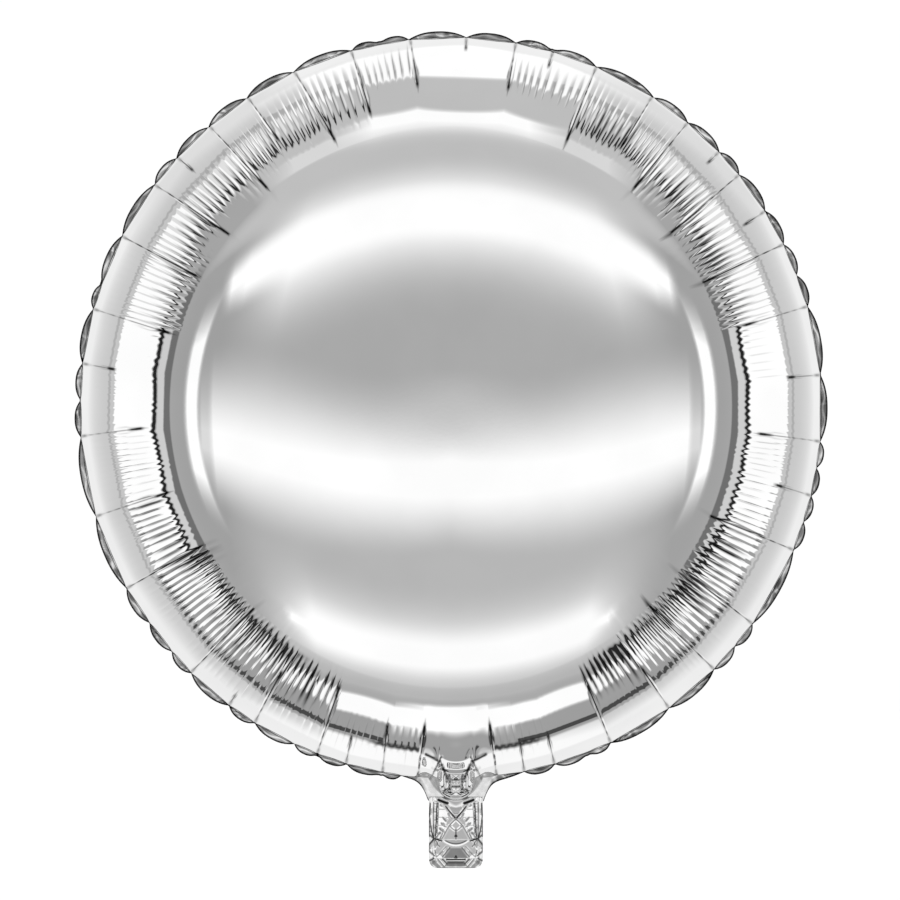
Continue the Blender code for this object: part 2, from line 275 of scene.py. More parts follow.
def smooth_step(value: np.ndarray, low: float, high: float) -> np.ndarray:
    """Rise smoothly from 0 at low to 1 at high.

    Args:
        value: numbers to weigh.
        low: value that gives 0.
        high: value that gives 1; below low, the step falls instead.

    Returns:
        The weights, one for each value.
    """
    share = np.clip((value - low) / (high - low), 0.0, 1.0)
    return share * share * (3.0 - 2.0 * share)


def stroke(away: np.ndarray, half: float | np.ndarray, power: int = 2) -> np.ndarray:
    """Draw a soft-edged line: 1 along it, fading over its half width.

    Args:
        away: distances from the line.
        half: its half width.
        power: how squarely it ends; 2 gives a soft line and 4 a band.

    Returns:
        The weights, one for each distance.
    """
    return np.exp(-(away / half)**power)


def smooth_through(rows: list[tuple[float, float]], value: np.ndarray) -> np.ndarray:
    """Read a smooth curve through a few points.

    Args:
        rows: (position, value) of each point, in rising order of position.
        value: positions to read at.

    Returns:
        The curve's values there.
    """
    place = np.array([row[0] for row in rows], float)
    level = np.array([row[1] for row in rows], float)
    slope = np.gradient(level, place)
    index = np.clip(np.searchsorted(place, value, side="right") - 1, 0, len(rows) - 2)
    width = place[index + 1] - place[index]
    t = np.clip((value - place[index]) / width, 0.0, 1.0)
    return ((2 * t**3 - 3 * t**2 + 1) * level[index]
            + (t**3 - 2 * t**2 + t) * width * slope[index]
            + (3 * t**2 - 2 * t**3) * level[index + 1]
            + (t**3 - t**2) * width * slope[index + 1])


def reshape(mesh: bpy.types.Mesh, move: Callable[[np.ndarray], np.ndarray]) -> None:
    """Move every point of a mesh.

    Args:
        mesh: the mesh, changed in place.
        move: takes the points as rows of x, y, z and gives the new ones.
    """
    points = np.empty(len(mesh.vertices) * 3)
    mesh.vertices.foreach_get("co", points)
    mesh.vertices.foreach_set("co", move(points.reshape(-1, 3)).ravel())
    mesh.update()


def shade_points(mesh: bpy.types.Mesh, name: str,
                 measure: Callable[[np.ndarray], np.ndarray]) -> None:
    """Keep one number for each point of a mesh, for its material to read.

    Args:
        mesh: the mesh.
        name: name of the attribute.
        measure: takes the points as rows of x, y, z and gives the numbers.
    """
    points = np.empty(len(mesh.vertices) * 3)
    mesh.vertices.foreach_get("co", points)
    kept = mesh.attributes.new(name, "FLOAT", "POINT")
    kept.data.foreach_set("value", measure(points.reshape(-1, 3)))


def triangles(mesh: bpy.types.Mesh) -> int:
    """Count the triangles of a mesh."""
    return sum(len(polygon.vertices) - 2 for polygon in mesh.polygons)


def crease_relief(creases: tuple[Crease, ...], x: np.ndarray,
                  z: np.ndarray) -> tuple[np.ndarray, np.ndarray]:
    """Work out the relief and the painted shade lines of a set of creases.

    Args:
        creases: the creases.
        x: places across, in metres from the neck's middle line.
        z: levels in metres.

    Returns:
        Heights in metres and painted shades from 0 to 1, one for each point.
    """
    height = np.zeros_like(x)
    shade = np.zeros_like(x)
    x, z = np.abs(x) * MILLIMETRES, z * MILLIMETRES
    for crease in creases:
        along_x, along_z = crease.x1 - crease.x0, crease.z1 - crease.z0
        length = along_x**2 + along_z**2
        place = ((x - crease.x0) * along_x + (z - crease.z0) * along_z) / length
        place = np.clip(place, 0.0, 1.0)
        away = np.hypot(x - crease.x0 - place * along_x, z - crease.z0 - place * along_z)
        taper = np.minimum(1.0, CREASE_TAPER * place * (1.0 - place))
        ends = CREASE_END_DEPTH + (1.0 - CREASE_END_DEPTH) * taper
        ridge = np.maximum(0.0, 1.0 - away / crease.half)
        height += crease.rise / MILLIMETRES * ridge * ends
        # Painted shade along the crease's line
        line = np.minimum(1.0, LINE_CORE * stroke(away, crease.line))
        shade = np.maximum(shade, min(LINE_STRENGTH * crease.shade, 1.0) * line)
    return height, shade


def clock_angle(points: np.ndarray) -> np.ndarray:
    """Clock angle of each point, in degrees from 0 to 360."""
    return np.degrees(np.arctan2(points[:, 0], points[:, 2])) % 360.0


def turn_between(angle: np.ndarray, middle: float | np.ndarray) -> np.ndarray:
    """Degrees from a middle to each clock angle, from -180 to 180."""
    return (angle - middle + 180.0) % 360.0 - 180.0


def double_sheet(columns: int, rows: int) -> bmesh.types.BMesh:
    """Make a plain box from two gridded sheets, one from z 0 and one at z 1.

    Args:
        columns: faces across, from x -1 to 1.
        rows: faces up, from y -1 to 1.

    Returns:
        The closed box.
    """
    sheet = bmesh.new()
    bmesh.ops.create_grid(sheet, x_segments=columns, y_segments=rows, size=1.0)
    raised = bmesh.ops.extrude_face_region(sheet, geom=sheet.faces[:])
    lifted = [item for item in raised["geom"] if isinstance(item, bmesh.types.BMVert)]
    bmesh.ops.translate(sheet, vec=(0.0, 0.0, 1.0), verts=lifted)
    return sheet


def settle_faces(solid: bmesh.types.BMesh) -> None:
    """Turn all faces outwards and shade them smooth.

    Args:
        solid: the closed shape, changed in place.
    """
    bmesh.ops.recalc_face_normals(solid, faces=solid.faces[:])
    for face in solid.faces:
        face.smooth = True


def to_mesh(solid: bmesh.types.BMesh, name: str) -> bpy.types.Mesh:
    """Keep a bmesh as a mesh, and free it.

    Args:
        solid: the shape.
        name: name of the mesh.

    Returns:
        The mesh.
    """
    mesh = bpy.data.meshes.new(name)
    solid.to_mesh(mesh)
    solid.free()
    return mesh


def add_piece(name: str, mesh: bpy.types.Mesh,
              finish: bpy.types.Material) -> bpy.types.Object:
    """Put a mesh into the scene as a piece with its finish.

    Args:
        name: name of the piece.
        mesh: its mesh.
        finish: its material.

    Returns:
        The piece.
    """
    piece = bpy.data.objects.new(name, mesh)
    bpy.context.scene.collection.objects.link(piece)
    mesh.materials.append(finish)
    log.info("%s: %d triangles", name, triangles(mesh))
    return piece


class NodeBench:
    """Places shader nodes in one tree with short calls."""

    def __init__(self, tree: bpy.types.NodeTree) -> None:
        """Work on that tree."""
        self.tree = tree

    def add(self, kind: str, settings: dict | None = None, **inputs: object) -> bpy.types.Node:
        """Add a node.

        Args:
            kind: the node's Blender type name.
            settings: properties to set on the node itself.
            **inputs: sockets to fill, by name with _ for a space; a value is either
                a constant or the output socket that feeds it.

        Returns:
            The node.
        """
        node = self.tree.nodes.new(kind)
        for name, value in (settings or {}).items():
            setattr(node, name, value)
        for name, value in inputs.items():
            self.feed(node.inputs[name.replace("_", " ")], value)
        return node

    def feed(self, socket: bpy.types.NodeSocket, value: object) -> None:
        """Fill one input socket with a constant or from an output socket.

        Args:
            socket: the input.
            value: the constant or output socket.
        """
        if isinstance(value, bpy.types.NodeSocket):
            self.tree.links.new(value, socket)
        else:
            socket.default_value = value

    def math(self, operation: str, *values: object) -> bpy.types.NodeSocket:
        """Add a Math node.

        Args:
            operation: its operation.
            *values: its inputs in order, constants or output sockets.

        Returns:
            Its output.
        """
        node = self.tree.nodes.new("ShaderNodeMath")
        node.operation = operation
        for socket, value in zip(node.inputs, values):
            self.feed(socket, value)
        return node.outputs[0]

    def ramp(self, value: object, low: object, high: object,
             start: object = 0.0, end: object = 1.0) -> bpy.types.NodeSocket:
        """Turn a value smoothly from start at low to end at high.

        Args:
            value: what is read.
            low: value that gives start.
            high: value that gives end.
            start: result at low and below.
            end: result at high and above.

        Returns:
            The output socket.
        """
        node = self.add("ShaderNodeMapRange", {"interpolation_type": "SMOOTHSTEP"},
                        Value=value, From_Min=low, From_Max=high,
                        To_Min=start, To_Max=end)
        return node.outputs["Result"]

    def slope(self, value: object, low: object, high: object) -> bpy.types.NodeSocket:
        """Turn a value evenly from 0 at low to 1 at high.

        Args:
            value: what is read.
            low: value that gives 0.
            high: value that gives 1.

        Returns:
            The output socket.
        """
        node = self.add("ShaderNodeMapRange", None, Value=value, From_Min=low,
                        From_Max=high)
        return node.outputs["Result"]


def shader_group(name: str, inputs: dict[str, tuple[str, object]],
                 outputs: dict[str, str]) -> bpy.types.NodeTree:
    """Make an empty shader node group with named sockets.

    Args:
        name: the group's name.
        inputs: socket name to (socket type, default value or None).
        outputs: socket name to socket type.

    Returns:
        The group, with its input and output nodes in place.
    """
    group = bpy.data.node_groups.new(name, "ShaderNodeTree")
    for label, (kind, value) in inputs.items():
        socket = group.interface.new_socket(label, in_out="INPUT", socket_type=kind)
        if value is not None:
            socket.default_value = value
    for label, kind in outputs.items():
        group.interface.new_socket(label, in_out="OUTPUT", socket_type=kind)
    group.nodes.new("NodeGroupInput")
    group.nodes.new("NodeGroupOutput")
    return group


@dataclass
class FilmGrain:
    """Fine unevenness of metallised film: cloudy tone, rubbed gloss, shallow relief."""

    name: str = "film_grain"

    def group(self) -> bpy.types.NodeTree:
        """Give the node group, building it the first time.

        Returns:
            The group, with Cloud and Relief from 0 to 1.
        """
        made = bpy.data.node_groups.get(self.name)
        if made:
            return made
        made = shader_group(
            self.name,
            {"Position": ("NodeSocketVector", None),
             "Grain Size": ("NodeSocketFloat", 0.0012),
             "Cloud Size": ("NodeSocketFloat", 0.03)},
            {"Cloud": "NodeSocketFloat", "Relief": "NodeSocketFloat"},
        )
        bench = NodeBench(made)
        source = made.nodes["Group Input"].outputs
        result = made.nodes["Group Output"].inputs
        cloud = bench.add("ShaderNodeTexNoise", Vector=source["Position"],
                          Scale=bench.math("DIVIDE", 1.0, source["Cloud Size"]),
                          Detail=3.0, Roughness=0.55)
        fine = bench.add("ShaderNodeTexNoise", Vector=source["Position"],
                         Scale=bench.math("DIVIDE", 1.0, source["Grain Size"]),
                         Detail=2.0, Roughness=0.5)
        bench.feed(result["Cloud"], cloud.outputs[0])
        bench.feed(result["Relief"], fine.outputs[0])
        return made


@dataclass(frozen=True)
class FoilFinish:
    """One finish of the silver film, from mirror-bright to pressed and dull.

    dark and bright are the ends of its tone, polished and rubbed those of its
    roughness; grain and cloud are the sizes of its unevenness and relief the depth of
    the finer one; painted_shade_depth is how far the painted shade kept on a point
    darkens its colour.
    """

    name: str
    dark: float
    bright: float
    polished: float
    rubbed: float
    grain: float
    relief: float
    cloud: float
    painted_shade_depth: float = 0.985
    bump: float = 0.35
    tone_span: Span = (0.3, 0.7)
    gloss_span: Span = (0.25, 0.75)

    def material(self) -> bpy.types.Material:
        """Build the material.

        Returns:
            A material whose tone, gloss and relief vary over the film, and whose tone
            is darkened by the painted shade kept on its points.
        """
        made = bpy.data.materials.new(self.name)
        made.use_nodes = True
        bench = NodeBench(made.node_tree)
        shader = made.node_tree.nodes["Principled BSDF"]
        place = bench.add("ShaderNodeTexCoord").outputs["Object"]
        grain = bench.add("ShaderNodeGroup", {"node_tree": FilmGrain().group()},
                          Position=place, Grain_Size=self.grain, Cloud_Size=self.cloud)
        tone = bench.ramp(grain.outputs["Cloud"], *self.tone_span, self.dark,
                          self.bright)
        # Darken the tone by the painted shade kept on the mesh's points
        painted_shade = bench.add("ShaderNodeAttribute", {"attribute_name": PAINTED_SHADE}).outputs["Fac"]
        kept = bench.math("MULTIPLY_ADD", painted_shade, -self.painted_shade_depth, 1.0)
        tone = bench.math("MULTIPLY", tone, kept)
        colour = bench.add("ShaderNodeCombineColor", Red=tone, Green=tone, Blue=tone)
        gloss = bench.ramp(grain.outputs["Cloud"], *self.gloss_span, self.rubbed,
                           self.polished)
        bump = bench.add("ShaderNodeBump", Height=grain.outputs["Relief"],
                         Strength=self.bump, Distance=self.relief)
        bench.feed(shader.inputs["Base Color"], colour.outputs[0])
        bench.feed(shader.inputs["Roughness"], gloss)
        bench.feed(shader.inputs["Normal"], bump.outputs[0])
        shader.inputs["Metallic"].default_value = 1.0
        return made


MIRROR_FILM = FoilFinish("mirror_film", dark=0.91, bright=0.95,
                         polished=0.012, rubbed=0.028, grain=0.0016, relief=0.000004,
                         cloud=0.05)
PRESSED_FILM = FoilFinish("pressed_film", dark=0.66, bright=0.90,
                          polished=0.04, rubbed=0.12, grain=0.0006, relief=0.00004,
                          cloud=0.006)
NECK_FILM = FoilFinish("neck_film", dark=0.86, bright=0.94,
                       polished=0.03, rubbed=0.07, grain=0.0010, relief=0.00001,
                       cloud=0.008)
NECK_SEAL = FoilFinish("neck_seal", dark=0.84, bright=0.97,
                       polished=0.05, rubbed=0.12, grain=0.0006, relief=0.00003,
                       cloud=0.005)


# Slopes at which the spout takes over from the plain film
SPOUT_JOINS = (44.0, 46.5, 49.0)
SPOUT_ROWS = tuple(SpoutRow(*row) for row in (
    (52.0, 0.1553, 0.0550), (55.0, 0.1592, 0.0500), (58.0, 0.1630, 0.0448),
    (60.0, 0.1652, 0.0416), (61.5, 0.1664, 0.0391), (63.0, 0.1676, 0.0365),
    (65.0, 0.1690, 0.0336), (67.5, 0.1709, 0.0311), (70.0, 0.1724, 0.0276),
    (74.0, 0.1750, 0.0214), (78.0, 0.1776, 0.0164), (81.0, 0.1799, 0.0126),
    (84.0, 0.1819, 0.0090), (87.0, 0.1834, 0.0055), (88.5, 0.1841, 0.0030),
    (90.0, 0.1846, 0.0),
))


@dataclass(frozen=True)
class FoldSizes:
    """Sizes of the grooves that gather the film at the rim.

    Spans are shares of the way in from the rim; side_span is how far round to the
    sides, from 0 at the top and bottom to 1, the folds ease.
    """

    bank: float = 0.44
    narrow: float = 0.00072
    wide: float = 0.0016
    full_length: float = 0.032
    least_size: float = 0.85
    size_spread: float = 0.3
    run_out: Span = (0.93, 1.03)
    widening: Span = (0.30, 0.74)
    closing: Span = (0.76, 1.0)
    closed: float = 0.9
    side_ease: float = 0.85
    side_span: Span = (0.88, 0.975)


@dataclass(frozen=True)
class FoldStrokes:
    """How the painted shade lines of a fold are drawn.

    dash_waves is the waves along a fold, in radians for its length, and dash_span the
    heights of their sum between which a dash comes. tail_span is radii. Other spans are
    shares of the way in from the rim. needle and tail are half widths in lines.
    """

    line: float = 0.00028
    window: Span = (-0.1, 1.1)
    dash_waves: Span = (45.0, 71.0)
    dash_span: Span = (-0.5, 0.4)
    dash_floor: float = 0.35
    solid_span: Span = (0.45, 0.6)
    banks: float = 0.42
    bank_span: Span = (0.55, 0.75)
    needle: float = 2.2
    needle_start: Span = (0.80, 0.90)
    needle_end: Span = (1.0, 1.06)
    tail: float = 2.4
    tail_span: Span = (0.1690, 0.1735)
    shallow: float = 0.35
    strength: float = 1.6


@dataclass(frozen=True)
class RibSizes:
    """Sizes of the fine ribs, and of the painted shade between them near their inner ends.

    pitch is in degrees and ease_span is radii. rise and fall are how far from its ends
    a rib comes and goes. size and pinch_shade hold a least value and how much chance adds.
    drift moves the ribs off their even pitch, in two waves round the rim. A line of
    painted shade is line's first value wide, in line_half, and its second wider where it
    is deepest. It comes at the rib's inner end over stroke_start and goes between the
    distances of stroke_stop, which are stroke_longer further out where it is deepest.
    """

    pitch: float = 1.2
    height: float = 0.00026
    puff: float = 2.0
    sunk: float = 1.2
    fullness: float = 0.9
    rise: Span = (0.006, 0.008)
    fall: float = 0.012
    ease: float = 0.3
    ease_span: Span = (0.146, 0.162)
    raggedness: float = 0.0060
    size: Span = (0.75, 0.25)
    drift_waves: Span = (11.0, 29.0)
    drift: Span = (0.3, 0.25)
    pinch_shade: Span = (0.35, 0.85)
    pinch_shade_strength: float = 1.5
    line: Span = (0.65, 1.5)
    line_half: float = 0.13
    stroke_start: Span = (0.0010, 0.0015)
    stroke_stop: Span = (0.005, 0.012)
    stroke_longer: Span = (0.006, 0.008)


@dataclass(frozen=True)
class SpoutSizes:
    """Sizes of the spout, where the film runs down into the neck.

    right and left are the clock angles where it is in full and where it ends on either
    side. The band is the ragged shadow where the film turns in beside the spout; its
    start and end are degrees from band_middle. crease_share is shares of the spout, and
    the other spans are slopes of the meridian in degrees.
    """

    right: Span = (175.7, 172.6)
    left: Span = (182.8, 185.9)
    neck_x: float = NECK_X
    neck_half: float = NECK_HALF
    crease: float = 0.0070
    crease_width: float = 0.0016
    side: float = 0.0145
    smooth_span: Span = (50.0, 58.0)
    smoothness: float = 0.95
    crease_share: Span = (0.1, 0.5)
    level_span: Span = (56.0, 66.0)
    tongue: float = 0.0014
    tongue_ease: float = 0.8
    side_dip: float = 0.0022
    dip_start: Span = (47.0, 64.0)
    dip_end: Span = (70.0, 80.0)
    smile: float = 0.0088
    smile_widest: float = 1.1
    smile_span: Span = (70.0, 84.0)
    narrowing: float = 0.25
    narrow_span: Span = (64.0, 82.0)
    brim: float = 0.0009
    brim_fade: float = 0.0005
    brim_share: float = 0.6
    brim_shade: float = 0.85
    band_radius: float = 0.1596
    band_half: float = 0.0012
    band_waver: float = 0.0004
    band_middle: float = 179.0
    band_start: Span = (6.1, 6.4)
    band_end: Span = (15.8, 12.8)
    band_shade: float = 0.93


@dataclass
class FilmShape:
    """Where the filled film lies, from the pole of each face out to the rim.

    Spans are slopes of the meridian in degrees, apart from chord_span, which is radii.
    """

    rim_radius: float = RIM_RADIUS
    flatness: float = 0.8
    flatten_span: Span = (33.0, 50.0)
    rounding: float = 0.6
    rounding_span: Span = (66.0, 86.0)
    rim_calm: float = 0.7
    rim_span: Span = (86.0, 90.0)
    chord_span: Span = (0.162, 0.172)
    shallow_reach: float = 0.160
    meridian_steps: int = 4000
    fold: FoldSizes = FoldSizes()
    strokes: FoldStrokes = FoldStrokes()
    rib: RibSizes = RibSizes()
    spout: SpoutSizes = SpoutSizes()
    seed: int = 7

    def __post_init__(self) -> None:
        """Prepare the folds' places, the meridian's heights and the spout's section."""
        self.cusps = np.array([fold.angle for fold in FOLDS])
        self.deep_cusps = np.array([fold.angle for fold in FOLDS
                                    if fold.reach < self.shallow_reach])
        self.slopes = np.linspace(0.0, math.pi / 2, self.meridian_steps + 1)
        steps = np.sqrt(np.sin((self.slopes[1:] + self.slopes[:-1]) / 2))
        rise = np.concatenate(([0.0], np.cumsum(steps * np.diff(self.slopes))))
        self.heights = self.rim_radius / 2 * (rise[-1] - rise)
        joins = zip(SPOUT_JOINS, *self.plain(np.array(SPOUT_JOINS)))
        self.section = [SpoutRow(*join) for join in joins] + list(SPOUT_ROWS)

    def plain(self, slope: np.ndarray) -> tuple[np.ndarray, np.ndarray]:
        """Radii and heights of the unfolded film at slopes in degrees.

        Args:
            slope: slopes of the meridian in degrees.

        Returns:
            Distances from the axis and heights over the rim's plane.
        """
        turn = np.radians(slope)
        return (self.rim_radius * np.sqrt(np.sin(turn)),
                np.interp(turn, self.slopes, self.heights))

    def chord(self, angle: np.ndarray, cusps: np.ndarray) -> np.ndarray:
        """How much nearer the middle a straight edge between folds runs.

        Args:
            angle: clock angles in degrees.
            cusps: clock angles of the folds, in rising order.

        Returns:
            The edge's distance from the middle, as a factor of the round one's.
        """
        after = np.searchsorted(cusps, angle, side="right")
        ring = np.concatenate(([cusps[-1] - 360.0], cusps, [cusps[0] + 360.0]))
        start, end = ring[after], ring[after + 1]
        return (np.cos(np.radians((end - start) / 2))
                / np.cos(np.radians(angle - (start + end) / 2)))

    def spout_share(self, angle: np.ndarray) -> np.ndarray:
        """How far the film follows the spout at each angle, from 0 to 1.

        Args:
            angle: clock angles in degrees.

        Returns:
            The shares, one for each angle.
        """
        right = smooth_step(angle, self.spout.right[1], self.spout.right[0])
        left = smooth_step(angle, self.spout.left[1], self.spout.left[0])
        return np.where(angle < 180.0, right, left)

    def tucks(self, angle: np.ndarray, radius: np.ndarray,
              ) -> Iterator[tuple[np.ndarray, np.ndarray, np.ndarray, np.ndarray]]:
        """Go through the folds.

        Args:
            angle: clock angles in degrees.
            radius: distances from the axis in metres.

        Yields:
            For each fold its depth at every point, from 0 to 1, the distance of the
            point from the fold's bottom, half the groove's width there, and the share
            of the way in from the rim.
        """
        sizes = self.fold
        random = np.random.default_rng(self.seed)
        sideways = np.abs(np.sin(np.radians(angle)))
        quiet = 1.0 - sizes.side_ease * smooth_step(sideways, *sizes.side_span)
        for fold in FOLDS:
            size = sizes.least_size + sizes.size_spread * random.random()
            length = self.rim_radius - fold.reach
            share = (self.rim_radius - radius) / length
            along = 1.0 - smooth_step(share, *sizes.run_out)
            turn = turn_between(angle, fold.angle + fold.lean * share)
            wide = sizes.wide * size * min(1.0, length / sizes.full_length)
            half = sizes.narrow + (max(wide - sizes.narrow, 0.0)
                                   * smooth_step(share, *sizes.widening))
            half = half * (1.0 - sizes.closed * smooth_step(share, *sizes.closing))
            yield along * quiet, np.abs(np.radians(turn)) * radius, half, share

    def folds(self, angle: np.ndarray, radius: np.ndarray) -> np.ndarray:
        """Relief of the folds: straight-sided grooves that widen inwards.

        Args:
            angle: clock angles in degrees.
            radius: distances from the axis in metres.

        Returns:
            The offset along the outward normal, in metres.
        """
        offset = np.zeros_like(radius)
        for depth, away, half, _ in self.tucks(angle, radius):
            offset -= depth * self.fold.bank * np.maximum(0.0, half - away)
        return offset

    def fold_shade(self, angle: np.ndarray, radius: np.ndarray) -> np.ndarray:
        """How much painted shade lies in the folds, from 0 to 1.

        Args:
            angle: clock angles in degrees.
            radius: distances from the axis in metres.

        Returns:
            The painted shades: dashes along a fold's bottom, its two banks, a needle at
            its inner end and a tail at the rim.
        """
        draw = self.strokes
        shade = np.zeros_like(radius)
        ends = smooth_step(radius, *draw.tail_span)
        for number, (depth, away, half, share) in enumerate(self.tucks(angle, radius)):
            near = (share > draw.window[0]) & (share < draw.window[1])
            first, second = draw.dash_waves
            waves = np.sin(share * first + number) + 0.5 * np.sin(share * second)
            dashes = (draw.dash_floor
                      + (1.0 - draw.dash_floor) * smooth_step(waves, *draw.dash_span))
            dashes = np.maximum(dashes, smooth_step(share, *draw.solid_span))
            bottom = dashes * stroke(away, draw.line)
            banks = (draw.banks * smooth_step(share, *draw.bank_span)
                     * stroke(away - half, draw.line))
            needle = (smooth_step(share, *draw.needle_start)
                      * (1.0 - smooth_step(share, *draw.needle_end))
                      * stroke(away, draw.needle * draw.line))
            tail = ends * stroke(away, draw.tail * draw.line)
            shallow = draw.shallow + (1.0 - draw.shallow) * depth
            faint = np.maximum(np.maximum(bottom, banks) * shallow,
                               np.maximum(needle, tail))
            drawn = np.minimum(draw.strength * faint, 1.0)
            shade = np.maximum(shade, np.where(near, drawn, 0.0))
        return shade

    def crease_shade(self, points: np.ndarray) -> np.ndarray:
        """Painted shade on the film in its folds, rib pinches and spout, from 0 to 1.

        Args:
            points: rows of x, y, z in metres.

        Returns:
            The shades, one for each point.
        """
        sizes = self.spout
        angle = clock_angle(points)
        radius = np.hypot(points[:, 0], points[:, 2])
        shade = np.maximum(self.rib_shade(angle, radius), self.fold_shade(angle, radius))
        shade = np.maximum(shade, self.shadow_band(angle, radius))
        spout = self.spout_share(angle)
        _, creased = crease_relief(SPOUT_CREASES, points[:, 0] - sizes.neck_x,
                                   points[:, 2])
        shade = np.maximum(shade, creased * smooth_step(spout, *sizes.crease_share))
        # Painted shade along the spout's brim, close to the rim's plane
        brim = smooth_step(sizes.brim - np.abs(points[:, 1]), 0.0, sizes.brim_fade)
        brim = brim * (spout > sizes.brim_share)
        return np.clip(np.maximum(shade, sizes.brim_shade * brim), 0.0, 1.0)

    def shadow_band(self, angle: np.ndarray, radius: np.ndarray) -> np.ndarray:
        """How dark the ragged band is where the film turns in beside the spout.

        Args:
            angle: clock angles in degrees.
            radius: distances from the axis in metres.

        Returns:
            The shades, one for each point.
        """
        sizes = self.spout
        waver = np.sin(2 * np.pi * self.rib_place(angle))
        across = stroke(radius - (sizes.band_radius + sizes.band_waver * waver),
                        sizes.band_half, 4)
        from_neck = np.abs(angle - sizes.band_middle)
        beside = (smooth_step(from_neck, *sizes.band_start)
                  * smooth_step(from_neck, *sizes.band_end))
        return sizes.band_shade * across * beside

    def rib_count(self) -> int:
        """Number of ribs all the way round."""
        return int(round(360.0 / self.rib.pitch))

    def rib_place(self, angle: np.ndarray) -> np.ndarray:
        """Count of ribs from the top to each clock angle, not quite even.

        Args:
            angle: clock angles in degrees.

        Returns:
            The counts, with their fractions.
        """
        drift = sum(amount * np.sin(np.radians(angle * waves))
                    for amount, waves in zip(self.rib.drift, self.rib.drift_waves))
        return angle / 360.0 * self.rib_count() + drift

    def rib_rows(self, angle: np.ndarray) -> tuple[np.ndarray, ...]:
        """Find the rib that each clock angle is on.

        Args:
            angle: clock angles in degrees.

        Returns:
            The share of the way across the rib, its inner and outer radius, its
            strength, and how dark the painted shade at its inner end is.
        """
        random = np.random.default_rng(self.seed + 1)
        count = self.rib_count()
        place = self.rib_place(angle) % count
        index = np.minimum(place.astype(int), count - 1)

        def by_chance(least: float, spread: float) -> np.ndarray:
            """Draw one value for each rib, and read it at each angle."""
            return (least + spread * random.random(count))[index]

        start, first, last, inner, outer, pinch_shade = np.array(RIB_SECTORS).T
        which = np.searchsorted(start, angle, "right") - 1
        share = (angle - start[which]) / (np.append(start[1:], 360.0) - start)[which]
        strength = first[which] + (last - first)[which] * share
        inner = inner[which] + by_chance(0.0, self.rib.raggedness)
        outer = outer[which] - by_chance(0.0, self.rib.raggedness)
        size = by_chance(*self.rib.size)
        pinch_shade = pinch_shade[which] * by_chance(*self.rib.pinch_shade)
        return place - index, inner, outer, size * strength, np.minimum(pinch_shade, 1.0)

    def ribs(self, angle: np.ndarray, radius: np.ndarray) -> np.ndarray:
        """Fine radial ribs of the gathered film, ragged at both ends.

        Args:
            angle: clock angles in degrees.
            radius: distances from the axis in metres.

        Returns:
            The offset along the outward normal, in metres.
        """
        sizes = self.rib
        across, inner, outer, strength, _ = self.rib_rows(angle)
        reach = (smooth_step(radius, inner - sizes.rise[0], inner + sizes.rise[1])
                 * (1.0 - sizes.ease * smooth_step(radius, *sizes.ease_span))
                 * (1.0 - smooth_step(radius, outer - sizes.fall, outer)))
        puff = sizes.puff * np.sin(np.pi * across)**sizes.fullness - sizes.sunk
        return sizes.height * strength * reach * puff

    def rib_shade(self, angle: np.ndarray, radius: np.ndarray) -> np.ndarray:
        """Painted shade where the film is pinched between ribs, near their inner ends, to 1.

        Args:
            angle: clock angles in degrees.
            radius: distances from the axis in metres.

        Returns:
            The shades, one for each point.
        """
        sizes = self.rib
        across, inner, _, _, pinch_shade = self.rib_rows(angle)
        edge = np.minimum(across, 1.0 - across)
        line = stroke(edge, sizes.line_half * (sizes.line[0] + sizes.line[1] * pinch_shade**3))
        start = smooth_step(radius, inner - sizes.stroke_start[0],
                            inner + sizes.stroke_start[1])
        near, far = (inner + at + longer * pinch_shade for at, longer
                     in zip(sizes.stroke_stop, sizes.stroke_longer))
        stop = 1.0 - smooth_step(radius, near, far)
        return np.minimum(sizes.pinch_shade_strength * pinch_shade * line, 1.0) * start * stop

    def place(self, angle: np.ndarray, slope: np.ndarray) -> tuple[np.ndarray, np.ndarray]:
        """Find where the film lies.

        Args:
            angle: clock angles in degrees.
            slope: slopes of the meridian in degrees, 0 at the pole and 90 at the rim.

        Returns:
            Distances from the axis and heights over the rim's plane, in metres.
        """
        sizes = self.spout
        turn = np.radians(slope)
        radius, height = self.plain(slope)
        flat = self.flatness * smooth_step(slope, *self.flatten_span)
        flat = flat * (1.0 - self.rounding * smooth_step(slope, *self.rounding_span))
        spout = self.spout_share(angle)
        offset = self.folds(angle, radius) + self.ribs(angle, radius)
        offset *= 1.0 - self.rim_calm * smooth_step(slope, *self.rim_span)
        offset *= 1.0 - sizes.smoothness * spout * smooth_step(slope, *sizes.smooth_span)
        inner, outer = self.chord(angle, self.deep_cusps), self.chord(angle, self.cusps)
        chord = inner + (outer - inner) * smooth_step(radius, *self.chord_span)
        radius = radius * (1.0 - flat * (1.0 - chord) * (1.0 - spout))
        low_radius, low_height = self.spout_place(angle, slope)
        low_end = slope > SPOUT_JOINS[0]
        radius = np.where(low_end, radius + (low_radius - radius) * spout, radius)
        height = np.where(low_end, height + (low_height - height) * spout, height)
        around = np.radians(angle)
        crease, _ = crease_relief(SPOUT_CREASES, radius * np.sin(around) - sizes.neck_x,
                                  radius * np.cos(around))
        creased = smooth_step(spout, *sizes.crease_share) * (slope < 89.0)
        height = height + crease * creased
        return (radius + offset * np.sin(turn),
                np.maximum(height + offset * np.cos(turn), 0.0))

